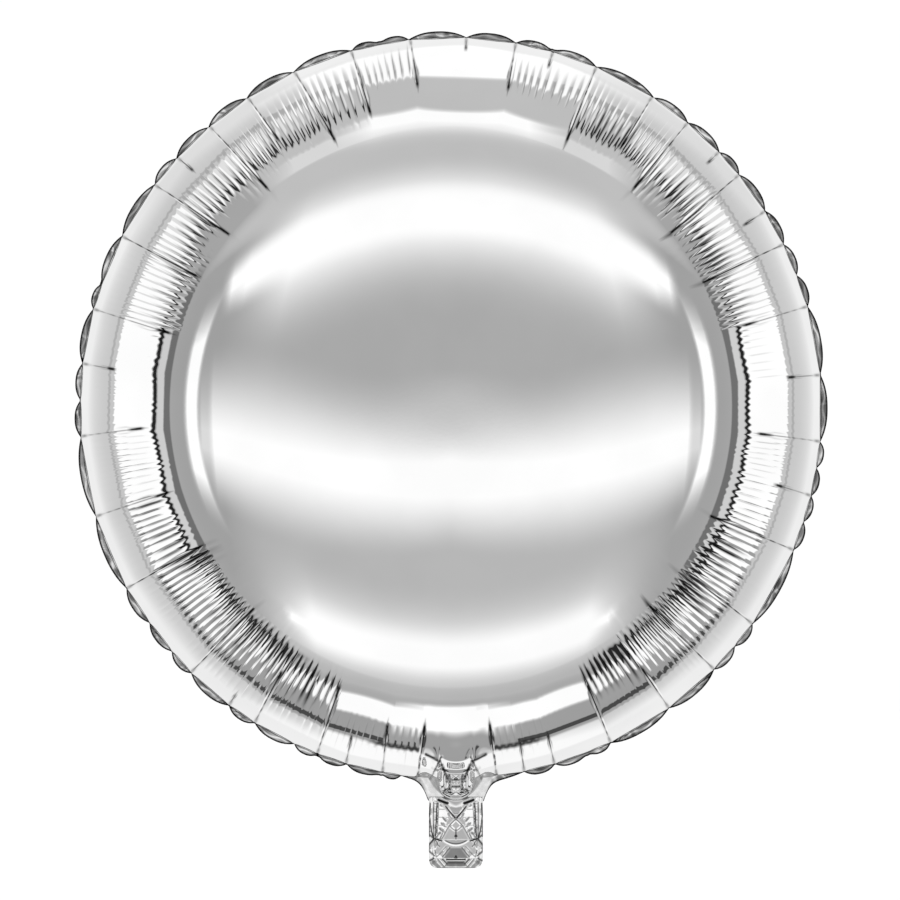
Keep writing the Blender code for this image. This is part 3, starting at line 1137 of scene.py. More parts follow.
    def spout_place(self, angle: np.ndarray, slope: np.ndarray,
                    ) -> tuple[np.ndarray, np.ndarray]:
        """Find where the film lies in the spout over the neck.

        Args:
            angle: clock angles in degrees.
            slope: slopes of the meridian in degrees.

        Returns:
            Distances from the axis and heights over the rim's plane, in metres.
        """
        sizes = self.spout
        radius = smooth_through([(row.slope, row.radius) for row in self.section], slope)
        height = smooth_through([(row.slope, row.height) for row in self.section], slope)
        down = np.cos(np.radians(angle))
        across = np.abs(radius * np.sin(np.radians(angle)) - sizes.neck_x)
        level = np.where(down < UNDERNEATH, -1.0 / np.minimum(down, UNDERNEATH), 1.0)
        level = 1.0 + smooth_step(slope, *sizes.level_span) * (level - 1.0)
        tongue = np.minimum(across / sizes.crease, 1.0)**2
        beside = smooth_step(across, sizes.crease, sizes.crease + sizes.crease_width)
        dip = (sizes.tongue * tongue * (1.0 - sizes.tongue_ease * beside)
               + sizes.side_dip * smooth_step(across, sizes.crease, sizes.side))
        dip = (dip * smooth_step(slope, *sizes.dip_start)
               * (1.0 - smooth_step(slope, *sizes.dip_end)))
        share = across / sizes.neck_half
        smile = (sizes.smile * np.minimum(share, sizes.smile_widest)**2
                 * smooth_step(slope, *sizes.smile_span))
        narrow = 1.0 - (sizes.narrowing * smooth_step(slope, *sizes.narrow_span)
                        * np.minimum(share, 1.0)**3)
        return radius * level - dip - smile, height * narrow


@dataclass
class Panel:
    """One domed film panel of the envelope, with a wall inside it.

    Its crown is a plain dome. The ring round that has rib_columns to each rib, and
    fold_columns within fold_spread degrees of each fold, at fold_middle of its length.
    More rings are put in between spout_span's clock angles, from the slope spout_from.
    """

    shape: FilmShape
    side: Side
    finish: bpy.types.Material
    samples_round: int = 14400
    rib_columns: int = 7
    fold_columns: int = 25
    fold_spread: float = 0.80
    fold_middle: float = 0.3
    spare: float = 0.06
    least_column: float = 0.02
    crown_columns: int = 480
    crown_rings: int = 20
    crown_start: float = 0.006
    crown_radius: float = 0.1290
    outside_crown: float = 0.15
    lining_columns: int = 180
    lining_slopes: tuple[float, ...] = (*range(2, 80, 6), 85.0, 90.0)
    wall: float = 0.0016
    lip_radius: float = 0.1736
    spout_span: Span = (171.5, 187.0)
    spout_from: float = 49.0
    spout_cuts: int = 2

    def crown_slopes(self) -> np.ndarray:
        """Slopes of the smooth crown's rings, evenly apart along the film."""
        radius = np.linspace(self.crown_start, self.crown_radius, self.crown_rings)
        return np.degrees(np.arcsin((radius / self.shape.rim_radius)**2))

    def slopes(self) -> np.ndarray:
        """Slopes of the outer film's rings, closer where ribs and folds run out.

        Returns:
            The slopes in degrees, in rising order.
        """
        return np.concatenate((np.arange(33.8, 44.0, 1.5), np.arange(44.3, 50.0, 2.0),
                               [50.6, 53.0, 55.0, 56.2, 57.4, 58.8, 60.6, 62.8],
                               [66.0, 69.0, 72.5, 76.5, 81.0, 85.5, 90.0]))

    def angles(self) -> np.ndarray:
        """Clock angles of the columns: evenly over each rib, and finer at each fold.

        Returns:
            The angles in rising order, from 0 to 360.
        """
        shape = self.shape
        fine = np.linspace(0.0, 360.0, self.samples_round + 1)
        ribbed = np.interp(np.arange(0.0, shape.rib_count() + 0.001, 1 / self.rib_columns),
                           shape.rib_place(fine), fine)
        ribbed[-1] = 360.0
        half = np.linspace(-self.fold_spread, self.fold_spread, self.fold_columns)
        parts = []
        for fold in FOLDS:
            middle = fold.angle + fold.lean * self.fold_middle
            parts.append(middle + half)
            ribbed = ribbed[np.abs(ribbed - middle) > self.fold_spread + self.spare]
        angles = np.sort(np.concatenate([ribbed] + parts))
        return angles[np.concatenate(([True], np.diff(angles) > self.least_column))]

    def refine(self, grid: bmesh.types.BMesh, angles: np.ndarray,
               slopes: np.ndarray) -> None:
        """Put more rings into the part of a plain grid that becomes the spout.

        Args:
            grid: the grid, from -1 to 1 both ways, changed in place.
            angles: clock angles of its columns.
            slopes: slopes of its rings.
        """
        first, last = np.searchsorted(angles, self.spout_span) / (len(angles) - 1) * 2 - 1
        inner = np.searchsorted(slopes, self.spout_from) / (len(slopes) - 1) * 2 - 1
        edges = []
        for edge in grid.edges:
            near, far = (vert.co for vert in edge.verts)
            if abs(near.x - far.x) < GRID_SLACK and first < near.x < last:
                if min(near.y, far.y) > inner - GRID_SLACK:
                    edges.append(edge)
        bmesh.ops.subdivide_edges(grid, edges=edges, cuts=self.spout_cuts,
                                  use_grid_fill=True)

    def bowl(self, angles: np.ndarray, slopes: np.ndarray,
             lay: Callable[[np.ndarray, np.ndarray], tuple[np.ndarray, np.ndarray]],
             ring: bool = False) -> bpy.types.Mesh:
        """Wrap a plain grid round the axis into a bowl with a closed pole, or a ring.

        Args:
            angles: clock angles of its columns, from 0 to 360.
            slopes: slopes of its rings, from the pole to the rim.
            lay: gives radius and height for clock angle and slope.
            ring: whether its inner end stays open, and it is finer in the spout.

        Returns:
            The bowl or ring as a mesh.
        """
        grid = bmesh.new()
        bmesh.ops.create_grid(grid, x_segments=len(angles) - 1,
                              y_segments=len(slopes) - 1, size=1.0)
        if ring:
            self.refine(grid, angles, slopes)
        else:
            pole = bmesh.ops.extrude_edge_only(
                grid, edges=[edge for edge in grid.edges
                             if all(vert.co.y < GRID_SLACK - 1 for vert in edge.verts)])
            top = [item for item in pole["geom"] if isinstance(item, bmesh.types.BMVert)]
            bmesh.ops.translate(grid, vec=(0.0, -1.0, 0.0), verts=top)
        mesh = to_mesh(grid, "bowl")

        def wrap(points: np.ndarray) -> np.ndarray:
            """Read the grid's place as angle and slope, and lay the film there.

            Args:
                points: places on the grid.

            Returns:
                Their places on the film, as rows of x, y, z in metres.
            """
            column = (points[:, 0] + 1) / 2 * (len(angles) - 1)
            row = (points[:, 1] + 1) / 2 * (len(slopes) - 1)
            angle = np.interp(column, np.arange(len(angles)), angles) % 360.0
            slope = np.interp(row, np.arange(len(slopes)), slopes)
            slope[points[:, 1] < -1.0 - GRID_SLACK] = 0.0
            radius, height = lay(angle, slope)
            turn = np.radians(angle)
            return np.column_stack((radius * np.sin(turn), height, radius * np.cos(turn)))

        reshape(mesh, wrap)
        return mesh

    def lining(self, angle: np.ndarray, slope: np.ndarray) -> tuple[np.ndarray, np.ndarray]:
        """Lay the inside of the wall: the plain film, set in.

        Args:
            angle: clock angles in degrees; the lining is the same at all.
            slope: slopes of the meridian in degrees.

        Returns:
            Distances from the axis and heights over the rim's plane.
        """
        turn = np.radians(slope)
        radius, height = self.shape.plain(slope)
        return (np.maximum(radius - self.wall * np.sin(turn), 0.0),
                np.maximum(height - self.wall * np.cos(turn), 0.0))

    def join(self, shell: bmesh.types.BMesh, mesh: bpy.types.Mesh) -> None:
        """Add a bowl or ring to the shell and close its seam.

        Args:
            shell: the panel so far, changed in place.
            mesh: the bowl or ring, removed once it is in.
        """
        shell.from_mesh(mesh)
        bpy.data.meshes.remove(mesh)
        bmesh.ops.remove_doubles(shell, verts=shell.verts[:], dist=WELD_DISTANCE)

    def film(self, shell: bmesh.types.BMesh) -> None:
        """Lay the outer film: the smooth crown, joined to the ribbed and folded ring.

        Args:
            shell: the panel so far, changed in place.
        """
        crown = np.linspace(0.0, 360.0, self.crown_columns + 1)
        self.join(shell, self.bowl(crown, self.crown_slopes(), self.shape.place))
        self.join(shell, self.bowl(self.angles(), self.slopes(), self.shape.place, True))
        between = [edge for edge in shell.edges if edge.is_boundary
                   and math.hypot(*edge.verts[0].co.xz) < self.outside_crown]
        bmesh.ops.bridge_loops(shell, edges=between)

    def close(self, shell: bmesh.types.BMesh) -> None:
        """Turn the film's edge in to a lip, and close it with the lining.

        Args:
            shell: the outer film, changed in place.
        """
        lip = bmesh.ops.extrude_edge_only(
            shell, edges=[edge for edge in shell.edges if edge.is_boundary])
        for item in lip["geom"]:
            if isinstance(item, bmesh.types.BMVert):
                inwards = self.lip_radius / math.hypot(*item.co.xz)
                item.co.x, item.co.z = item.co.x * inwards, item.co.z * inwards
        around = np.linspace(0.0, 360.0, self.lining_columns + 1)
        self.join(shell, self.bowl(around, np.array(self.lining_slopes), self.lining))
        bmesh.ops.bridge_loops(shell, edges=[edge for edge in shell.edges
                                             if edge.is_boundary])

    def build(self, name: str, node: str) -> bpy.types.Object:
        """Build the panel.

        Args:
            name: name of the piece.
            node: CAD node that it stands for.

        Returns:
            The finished piece.
        """
        shell = bmesh.new()
        self.film(shell)
        self.close(shell)
        facing = self.side.value
        bmesh.ops.scale(shell, vec=(1.0, facing, 1.0), verts=shell.verts[:])
        bmesh.ops.translate(shell, vec=(0.0, facing * GAP / 2, 0.0), verts=shell.verts[:])
        settle_faces(shell)
        mesh = to_mesh(shell, name)
        # Painted shade in the folds, the rib pinches, beside the spout and along its creases
        shade_points(mesh, PAINTED_SHADE, self.shape.crease_shade)
        piece = add_piece(name, mesh, self.finish)
        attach(piece, "envelope")
        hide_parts(node)
        return piece


@dataclass
class RimWeld:
    """The pressed rim: a thin flat band in scallops from fold to fold.

    A lens is one scallop's outline; scallops under full_width degrees are narrower.
    waves and wrinkles bend the band out of its plane. The shoulders are where it widens
    to the neck. Its borders are painted dark as shade, and painted dark patches of
    reflection lie between them, apart from a bright streak along its middle; the patches
    are painted paler at the shoulders.
    """

    shape: FilmShape
    finish: bpy.types.Material
    columns: int = 1800
    rings: int = 10
    overlap: float = 0.0006
    narrow: float = 0.0002
    wide: float = 0.0031
    lens_power: float = 2.4
    full_width: float = 25.0
    least_lens: float = 0.7
    half_thickness: float = 0.00012
    wrinkles: int = 150
    wave: float = 0.0007
    wave_power: float = 1.3
    wave_turns: Span = (23.0, 41.0)
    wave_heights: Span = (0.5, 0.4)
    wave_offset: float = 50.0
    wrinkle_half: Span = (0.25, 0.8)
    wrinkle_lean: float = 1.6
    wrinkle_dip: float = 0.35
    calm_right: Span = (173.0, 176.0)
    calm_left: Span = (186.0, 182.0)
    bottom: float = -0.1850
    shoulders: tuple[float, ...] = (171.9, 175.2, 183.3, 186.5)
    shoulder_power: float = 3.2
    shoulder_tilt: float = 0.045
    shoulder_level: float = -0.178
    shoulder_overlap: float = 0.002
    # Where the painted shade along the inner and the outer border fades out
    edge_shade_inner: Span = (0.0001, 0.0006)
    edge_shade_outer: Span = (0.0006, 0.0011)
    least_width: float = 0.0001
    narrow_span: Span = (0.0003, 0.0013)
    patch_turns: Span = (37.0, 61.0)
    patch_slant: float = 2.5
    streak_turns: float = 83.0
    streak_waver: float = 0.2
    shoulder_calm: float = 0.8
    streak_middle: float = 0.45
    streak_half: float = 0.13
    plain_shade: float = 0.35
    patch_shade: float = 0.50
    seed: int = 12

    def outline(self, angle: np.ndarray) -> tuple[np.ndarray, np.ndarray]:
        """Inner and outer radius of the band at each clock angle.

        Args:
            angle: clock angles in degrees.

        Returns:
            The two radii in metres.
        """
        shape = self.shape
        nips = np.array([nip.angle for nip in NIPS])
        shares = np.array([nip.share for nip in NIPS])
        after = np.searchsorted(nips, angle, side="right") % len(NIPS)
        before = after - 1
        width = (nips[after] - nips[before]) % 360.0
        place = ((angle - nips[before]) % 360.0) / width
        lens = 1 - np.abs(2 * place - 1)**self.lens_power
        low = 1 - shares[before] * (1 - smooth_step(place, 0.0, 0.5))
        high = 1 - shares[after] * smooth_step(place, 0.5, 1.0)
        lens = np.maximum(lens, np.where(place < 0.5, low, high) * (1 - lens) + lens * lens)
        lens = lens * np.minimum(1.0, self.least_lens + width / self.full_width)
        bow = shape.flatness * (1 - shape.rounding)
        edge = shape.rim_radius * (1 - bow * (1 - shape.chord(angle, shape.cusps)))
        outer = edge + self.narrow + (self.wide - self.narrow) * lens
        level = self.bottom / np.minimum(np.cos(np.radians(angle)), UNDERNEATH)
        reach = self.shoulder(angle)**self.shoulder_power
        outer = outer * (1 - reach) + level * reach
        film, _ = shape.place(angle, np.full_like(angle, 90.0))
        return film - self.overlap - self.shoulder_overlap * (reach > 0), outer

    def press(self, points: np.ndarray) -> np.ndarray:
        """Carry a plain double strip, from -1 to 1 both ways, to the scalloped band.

        Args:
            points: places on the double strip.

        Returns:
            Their places on the band, as rows of x, y, z in metres.
        """
        angle = ((points[:, 0] + 1) * 180.0) % 360.0
        share = (points[:, 1] + 1) / 2
        inner, outer = self.outline(angle)
        radius = inner + (outer - inner) * share
        quiet = 1.0 - (smooth_step(angle, *self.calm_right)
                       * smooth_step(angle, *self.calm_left))
        height = self.wave * self.ripple(angle, share) * share**self.wave_power * quiet
        turn = np.radians(angle)
        level = radius * np.cos(turn)
        height = height - (self.shoulder_tilt * self.shoulder(angle)
                           * (level - self.shoulder_level))
        thick = (points[:, 2] * 2 - 1) * self.half_thickness
        return np.column_stack((radius * np.sin(turn), thick + height, level))

    def ripple(self, angle: np.ndarray, share: np.ndarray) -> np.ndarray:
        """Wrinkles and long waves of the band.

        Args:
            angle: clock angles in degrees.
            share: share of the way out across the band.

        Returns:
            The offsets from the band's plane, in waves.
        """
        random = np.random.default_rng(self.seed)
        wrinkles = np.zeros_like(angle)
        for _ in range(self.wrinkles):
            centre = random.random() * 360.0
            half = self.wrinkle_half[0] + self.wrinkle_half[1] * random.random()
            lean = (random.random() - 0.5) * self.wrinkle_lean
            away = turn_between(angle + lean * share, centre)
            wrinkles += (random.random() - self.wrinkle_dip) * stroke(away, half)
        broad = np.sin(np.radians(angle * self.wave_turns[0]))
        fine = np.sin(np.radians(angle * self.wave_turns[1] + self.wave_offset))
        return wrinkles + self.wave_heights[0] * broad + self.wave_heights[1] * fine

    def shoulder(self, angle: np.ndarray) -> np.ndarray:
        """How far the band has widened to the neck's shoulders, from 0 to 1."""
        return np.interp(angle, self.shoulders, [0.0, 1.0, 1.0, 0.0])

    def border_shade(self, points: np.ndarray) -> np.ndarray:
        """Painted shade along the band's two borders, and painted dark patches of reflection
        between them, from 0 to 1.

        Args:
            points: rows of x, y, z in metres.

        Returns:
            The shades, one for each point.
        """
        angle = clock_angle(points)
        inner, outer = self.outline(angle)
        inner = inner + self.overlap
        width = np.maximum(outer - inner, self.least_width)
        inwards = np.hypot(points[:, 0], points[:, 2]) - inner
        share = inwards / width
        # Painted shade along both borders, and all over the band where it is narrow
        border = 1.0 - np.minimum(smooth_step(inwards, *self.edge_shade_inner),
                                  smooth_step(width - inwards, *self.edge_shade_outer))
        narrow = 1.0 - smooth_step(width, *self.narrow_span)
        # Painted dark patches of reflection, broken by a bright streak and paler at the
        # shoulders
        turn = np.radians(angle)
        first, second = self.patch_turns
        patches = np.sin(turn * first + self.patch_slant * share) * np.sin(turn * second + 1)
        patches = 0.5 + 0.5 * patches
        middle = self.streak_middle + self.streak_waver * np.sin(turn * self.streak_turns)
        streak = stroke(share - middle, self.streak_half)
        inside = (self.plain_shade + self.patch_shade * patches) * (1.0 - streak)
        inside = inside * (1.0 - self.shoulder_calm * self.shoulder(angle))
        return np.clip(np.maximum(np.maximum(border, narrow), inside), 0.0, 1.0)

    def build(self) -> bpy.types.Object:
        """Build the band.

        Returns:
            The finished piece.
        """
        band = double_sheet(self.columns, self.rings)
        ends = [face for face in band.faces
                if all(abs(vert.co.x) > 1 - GRID_SLACK for vert in face.verts)]
        bmesh.ops.delete(band, geom=ends, context="FACES")
        mesh = bpy.data.meshes.new("scalloped_rim")
        band.to_mesh(mesh)
        reshape(mesh, self.press)
        band.clear()
        band.from_mesh(mesh)
        bmesh.ops.remove_doubles(band, verts=band.verts[:], dist=WELD_DISTANCE)
        settle_faces(band)
        band.to_mesh(mesh)
        band.free()
        # Painted shade along the borders, and painted patches of reflection between them
        shade_points(mesh, PAINTED_SHADE, self.border_shade)
        piece = add_piece("scalloped_rim", mesh, self.finish)
        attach(piece, "envelope")
        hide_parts("rim_weld")
        return piece


@dataclass
class Neck:
    """The filling neck: two puffed, creased films in a pressed border.

    x is its middle line. A slope is the rise of a face for each metre along it. The
    brow is the film's face under the envelope, the slab the broad one below, the chin
    the lowest, over the smile, a bowed crease. facet and facet_middle are in
    millimetres, and facet_depth is metres for each of them.
    """

    film: bpy.types.Material
    seal: bpy.types.Material
    x: float = NECK_X
    half: float = NECK_HALF
    film_half: float = 0.0103
    film_grid: tuple[int, int] = (96, 150)
    border_grid: tuple[int, int] = (110, 150)
    top: float = -0.1830
    foot: float = -0.2120
    bottom: float = -0.2165
    corner: float = 0.0040
    thickness: float = 0.00016
    bend_from: float = -0.1842
    bend_to: float = -0.1892
    brow: float = 0.0008
    brow_slope: float = 0.47
    brow_level: float = -0.1836
    slab: float = 0.0020
    slab_slope: float = 0.19
    slab_level: float = -0.2030
    chin_top: float = -0.2031
    chin: float = 0.0019
    chin_slope: float = 0.23
    step: float = 0.0009
    step_slope: float = 0.30
    step_height: float = 0.00163
    over_slope: float = 0.12
    bank: float = 0.0003
    bank_slope: float = 0.552
    bank_inset: float = 0.0002
    ragged: float = 0.00010
    ragged_waves: Span = (1700.0, 3300.0)
    ragged_span: Span = (-0.2030, -0.1990)
    crease_depth: float = 0.6
    least_height: float = 0.0002
    edge_span: Span = (0.90, 1.0)
    smile_level: float = -0.2063
    smile_rise: float = 0.0027
    smile_half: float = 0.0066
    smile_line: float = 0.00028
    smile_over: float = 0.0013
    smile_shade: float = 0.9
    smile_drawn: float = 0.0050
    smile_end: float = 1.2
    inset_half: float = 0.0046
    inset_slope: float = 0.28
    inset_level: float = -0.2070
    inset_fade: float = 0.0006
    inset_span: Span = (-0.2068, -0.2073)
    inset_bottom: float = -0.2117
    inset_shade: float = 0.52
    roof_from: float = 0.0104
    roof_rim: float = 0.0001
    roof_calm: float = 0.7
    facet: float = 8.0
    facet_middle: float = 2.6
    facet_lean: float = 0.6
    facet_depth: float = 0.00006
    facet_span: Span = (0.0085, 0.0100)

    def puff(self, across: np.ndarray, z: np.ndarray) -> np.ndarray:
        """Height of the film over the border's plane.

        Args:
            across: places across the neck, from -1 to 1.
            z: levels in metres.

        Returns:
            The heights in metres.
        """
        x = across * self.film_half
        broad, fine = self.ragged_waves
        ragged = self.ragged * (np.sin(z * broad) + 0.5 * np.sin(z * fine + 1.0))
        ragged = ragged * smooth_step(z, *self.ragged_span)
        brow = self.brow + self.brow_slope * (self.brow_level - z)
        slab = self.slab + self.slab_slope * (z - self.slab_level)
        rise = z - self.smile(x)
        over = np.where(rise < self.step, self.chin - self.step_slope * rise,
                        self.step_height - self.over_slope * (rise - self.step))
        chin = np.where(rise < 0.0, self.chin + self.chin_slope * rise, over)
        middle = np.minimum(brow, np.where(z > self.chin_top, slab, chin))
        room = self.film_half - self.bank_inset - np.abs(x) + ragged
        height = np.minimum(middle, self.bank + self.bank_slope * room)
        relief, _ = crease_relief(NECK_CREASES, x, z)
        edge = 1.0 - smooth_step(np.abs(across), *self.edge_span)
        return np.maximum(height + self.crease_depth * relief * edge, self.least_height)

    def smile(self, x: np.ndarray) -> np.ndarray:
        """Level of the bowed crease across the lower film, at each place across."""
        share = np.minimum(np.abs(x) / self.smile_half, self.smile_end)
        return self.smile_level + self.smile_rise * share**2

    def film_shade(self, points: np.ndarray) -> np.ndarray:
        """Painted shade along the film's creases and smile, and a painted shadow in the inset.

        Args:
            points: rows of x, y, z in metres.

        Returns:
            The shades, one for each point.
        """
        x, z = points[:, 0] - self.x, points[:, 2]
        _, shade = crease_relief(NECK_CREASES, x, z)
        above = z - self.smile(x) - self.smile_over
        # Painted shade along the smile, and a painted shadow in the inset under it
        smile = self.smile_shade * stroke(above, self.smile_line)
        smile = smile * (np.abs(x) < self.smile_drawn)
        room = self.inset_half + (self.inset_level - z) * self.inset_slope - np.abs(x)
        inset = smooth_step(room, 0.0, self.inset_fade)
        shadow = self.inset_shade * inset * smooth_step(z, *self.inset_span)
        shadow = shadow * (z > self.inset_bottom)
        return np.clip(np.maximum(np.maximum(shade, smile), shadow), 0.0, 1.0)

    def border_shade(self, points: np.ndarray) -> np.ndarray:
        """Painted shade along the pressed border's creases, from 0 to 1."""
        _, shade = crease_relief(BORDER_CREASES, points[:, 0] - self.x, points[:, 2])
        return shade

    def build_film(self, name: str, node: str, side: Side) -> bpy.types.Object:
        """Build one film of the neck.

        Args:
            name: name of the piece.
            node: CAD node that it stands for.
            side: which side of the neck it is on.

        Returns:
            The finished piece.
        """
        mesh = to_mesh(double_sheet(*self.film_grid), name)

        def settle(points: np.ndarray) -> np.ndarray:
            """Carry the plain double sheet to the puffed film.

            Args:
                points: places on the double sheet.

            Returns:
                Their places on the film, as rows of x, y, z in metres.
            """
            z = self.foot + (self.top - self.foot) * (points[:, 1] + 1) / 2
            height = self.puff(points[:, 0], z) + self.thickness * points[:, 2]
            return np.column_stack((self.x + self.film_half * points[:, 0],
                                    side.value * height, z))

        reshape(mesh, settle)
        # Painted shade along the creases and the smile, and a painted shadow in the inset
        shade_points(mesh, PAINTED_SHADE, self.film_shade)
        return self.finish_piece(name, mesh, self.film, (node,))

    def build_border(self) -> bpy.types.Object:
        """Build the pressed border: two sides and the sealed foot.

        Returns:
            The finished piece.
        """
        mesh = to_mesh(double_sheet(*self.border_grid), "neck_border")

        def settle(points: np.ndarray) -> np.ndarray:
            """Carry the plain double sheet to the border, with round bottom corners.

            Args:
                points: places on the double sheet.

            Returns:
                Their places on the border, as rows of x, y, z in metres.
            """
            z = self.bottom + (self.top - self.bottom) * (points[:, 1] + 1) / 2
            low = np.clip(1 - (z - self.bottom) / self.corner, 0.0, 1.0)
            half = self.half - self.corner * (1 - np.sqrt(1 - low**2))
            x = points[:, 0] * half
            relief, _ = crease_relief(BORDER_CREASES, x, z)
            inside = np.minimum(np.abs(x) - self.roof_from,
                                half - self.roof_rim - np.abs(x))
            roof = self.bank_slope * np.maximum(inside, 0.0)
            relief = relief * (1.0 - self.roof_calm * (roof > 0.0))
            place = (z + self.facet_lean * np.abs(x)) * MILLIMETRES % self.facet
            facets = self.facet_depth * np.abs(place - self.facet_middle)
            relief = relief + facets * smooth_step(np.abs(x), *self.facet_span)
            height = (points[:, 2] * 2 - 1) * (self.thickness + roof) - relief
            return np.column_stack((self.x + x, height, z))

        reshape(mesh, settle)
        # Painted shade along the border's creases
        shade_points(mesh, PAINTED_SHADE, self.border_shade)
        return self.finish_piece("neck_border", mesh, self.seal,
                                 ("neck_weld", "neck_foot"))

    def finish_piece(self, name: str, mesh: bpy.types.Mesh, finish: bpy.types.Material,
                     nodes: tuple[str, ...]) -> bpy.types.Object:
        """Dress a neck piece with its finish.

        Args:
            name: name of the piece.
            mesh: its mesh.
            finish: its material.
            nodes: CAD nodes that it stands for.

        Returns:
            The finished piece.
        """
        solid = bmesh.new()
        solid.from_mesh(mesh)
        settle_faces(solid)
        solid.to_mesh(mesh)
        solid.free()
        piece = add_piece(name, mesh, finish)
        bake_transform(piece)
        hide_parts(*nodes)
        return piece


class Axis(Enum):
    """How a direction is measured, as seen from the middle of the balloon.

    ROUND: degrees round the X axis from straight ahead of the front, upwards.
    OFF: degrees away from straight ahead. LIFT: degrees up from level, seen from the
    front. SIDE: how far sideways, from 0 to 1. OVER and UNDER: how far above or below
    the drooping strip, as a share of its fade there.
    """

    ROUND = "round"
    OFF = "off"
    LIFT = "lift"
    SIDE = "side"
    OVER = "over"
    UNDER = "under"


class Window(NamedTuple):
    """A stretch of one measure, with a fade beyond either end."""

    axis: Axis
    low: float
    high: float
    fade_low: float
    fade_high: float


class TentPanel(NamedTuple):
    """One panel of the light tent: its brightness and the stretches that bound it."""

    level: float
    bounds: tuple[Window, ...]


def strip(level: float, low: float, high: float, fade_low: float, fade_high: float,
          side: float = 2.0, fade_side: float = 0.1) -> TentPanel:
    """A strip of the tent that runs from side to side.

    Args:
        level: its brightness.
        low: lower edge, in degrees round the X axis.
        high: upper edge.
        fade_low: how far it fades below.
        fade_high: how far it fades above.
        side: how far sideways it reaches.
        fade_side: fade beyond that.

    Returns:
        The strip.
    """
    return TentPanel(level, (Window(Axis.ROUND, low, high, fade_low, fade_high),
                             Window(Axis.SIDE, -1.0, side, 1.0, fade_side)))


def wall(level: float, low: float, high: float, fade_low: float, fade_high: float,
         foot: float, head: float, fade_foot: float, fade_head: float) -> TentPanel:
    """A wall of the tent that stands at its sides.

    Args:
        level: its brightness.
        low: near edge, in degrees away from straight ahead.
        high: far edge.
        fade_low: how far it fades towards the front.
        fade_high: how far it fades towards the back.
        foot: lower end, in degrees up from level.
        head: upper end.
        fade_foot: fade below.
        fade_head: fade above.

    Returns:
        The wall.
    """
    return TentPanel(level, (Window(Axis.OFF, low, high, fade_low, fade_high),
                             Window(Axis.LIFT, foot, head, fade_foot, fade_head)))


def drooping_strip(level: float, side: float, fade_side: float) -> TentPanel:
    """The middle strip, which droops and widens towards the sides.

    Args:
        level: its brightness.
        side: how far sideways it reaches.
        fade_side: fade beyond that.

    Returns:
        The strip.
    """
    return TentPanel(level, (Window(Axis.OVER, -99.0, 0.0, 1.0, 1.0),
                             Window(Axis.UNDER, -99.0, 0.0, 1.0, 1.0),
                             Window(Axis.SIDE, -1.0, side, 1.0, fade_side)))


# Brightness of a lit strip or wall of the tent, and of the plain ground behind
LAMP = 1.07
GROUND = 1.02

TENT = (
    # Glow of the tent between its strips
    strip(0.55, 38, 104, 8, 6),
    strip(0.50, -75, -12, 5, 8),
    strip(0.37, -120, -98, 8, 3),
    TentPanel(0.38, (Window(Axis.SIDE, 0.72, 2.0, 0.28, 1.0),
                     Window(Axis.ROUND, -62, 46, 8, 8))),
    # Back of the tent
    wall(0.62, 118, 200, 2, 1, -91, 91, 1, 1),
    wall(0.91, 146, 200, 30, 1, -91, 91, 1, 1),
    strip(0.90, -180, -136, 1, 20, 0.45, 0.25),
    wall(0.77, 138, 156, 20, 12, 36, 60, 12, 8),
    wall(0.70, 172, 200, 14, 1, -91, 91, 1, 1),
    # Strips over and in front of the balloon
    strip(0.72, 67, 75, 4, 3, 0.52, 0.12),
    strip(LAMP, 73.5, 80.0, 14, 4, 0.26, 0.17),
    strip(0.80, 31, 36, 20, 17, 0.46, 0.22),
    strip(LAMP, 28.0, 37.5, 21, 19, 0.46, 0.25),
    strip(LAMP, 30.0, 37.0, 8, 8, 0.64, 0.09),
    strip(LAMP, 32.0, 36.0, 9, 9, 0.70, 0.05),
    drooping_strip(0.75, 0.80, 0.04),
    drooping_strip(LAMP, 0.745, 0.03),
    strip(LAMP, -57.5, -48.5, 17, 23, 0.44, 0.22),
    strip(LAMP, -56.5, -50.0, 8, 12, 0.45, 0.07),
    strip(LAMP, -54.5, -52.0, 4, 5, 0.52, 0.04),
    strip(LAMP, -96.0, -83.5, 3, 3, 0.62, 0.05),
    strip(LAMP, -98.5, -80.5, 9, 3, 0.09, 0.15),
    strip(1.02, -138, -121, 4, 5, 0.28, 0.14),
    strip(LAMP, 107.5, 140, 4, 8, 0.24, 0.18),
    # Shade, walls and strips at the sides
    wall(0.40, 67, 84, 5, 2, -44, 46, 8, 8),
    wall(0.17, 69.6, 72.8, 2.2, 1.0, -34, 26, 5, 8),
    wall(0.66, 73.6, 77.2, 1.0, 0.8, -31, 20, 4, 6),
    wall(0.02, 78.4, 80.3, 0.6, 0.5, -38, 24, 4, 6),
    wall(LAMP, 81.4, 110, 0.8, 2, -33, 18, 4, 6),
    wall(LAMP, 88.0, 110, 4, 2, -36, 37, 4, 7),
    wall(0.80, 98, 110, 4, 3, 36, 58, 5, 10),
    wall(0.60, 111.5, 118, 1, 1, -36, 42, 4, 6),
    wall(0.46, 115.2, 117.2, 0.8, 0.8, -34, 42, 4, 6),
    wall(0.36, 107.0, 112.0, 2, 2, -60, -31, 6, 4),
    wall(0.02, 74.0, 86.0, 3, 4, -58, -35, 5, 5),
    TentPanel(LAMP, (Window(Axis.OFF, 55.6, 60.0, 1.8, 2.2),
                     Window(Axis.ROUND, -22, 22, 16, 16))),
    # Dark gaps between the walls
    wall(0.03, 86.0, 93.0, 2.5, 3, 50, 63, 5, 4),
    TentPanel(0.07, (Window(Axis.OFF, 110.0, 113.8, 0.9, 0.9),
                     Window(Axis.LIFT, -95, -44, 1, 5),
                     Window(Axis.SIDE, 0.20, 2.0, 0.03, 1.0))),
)


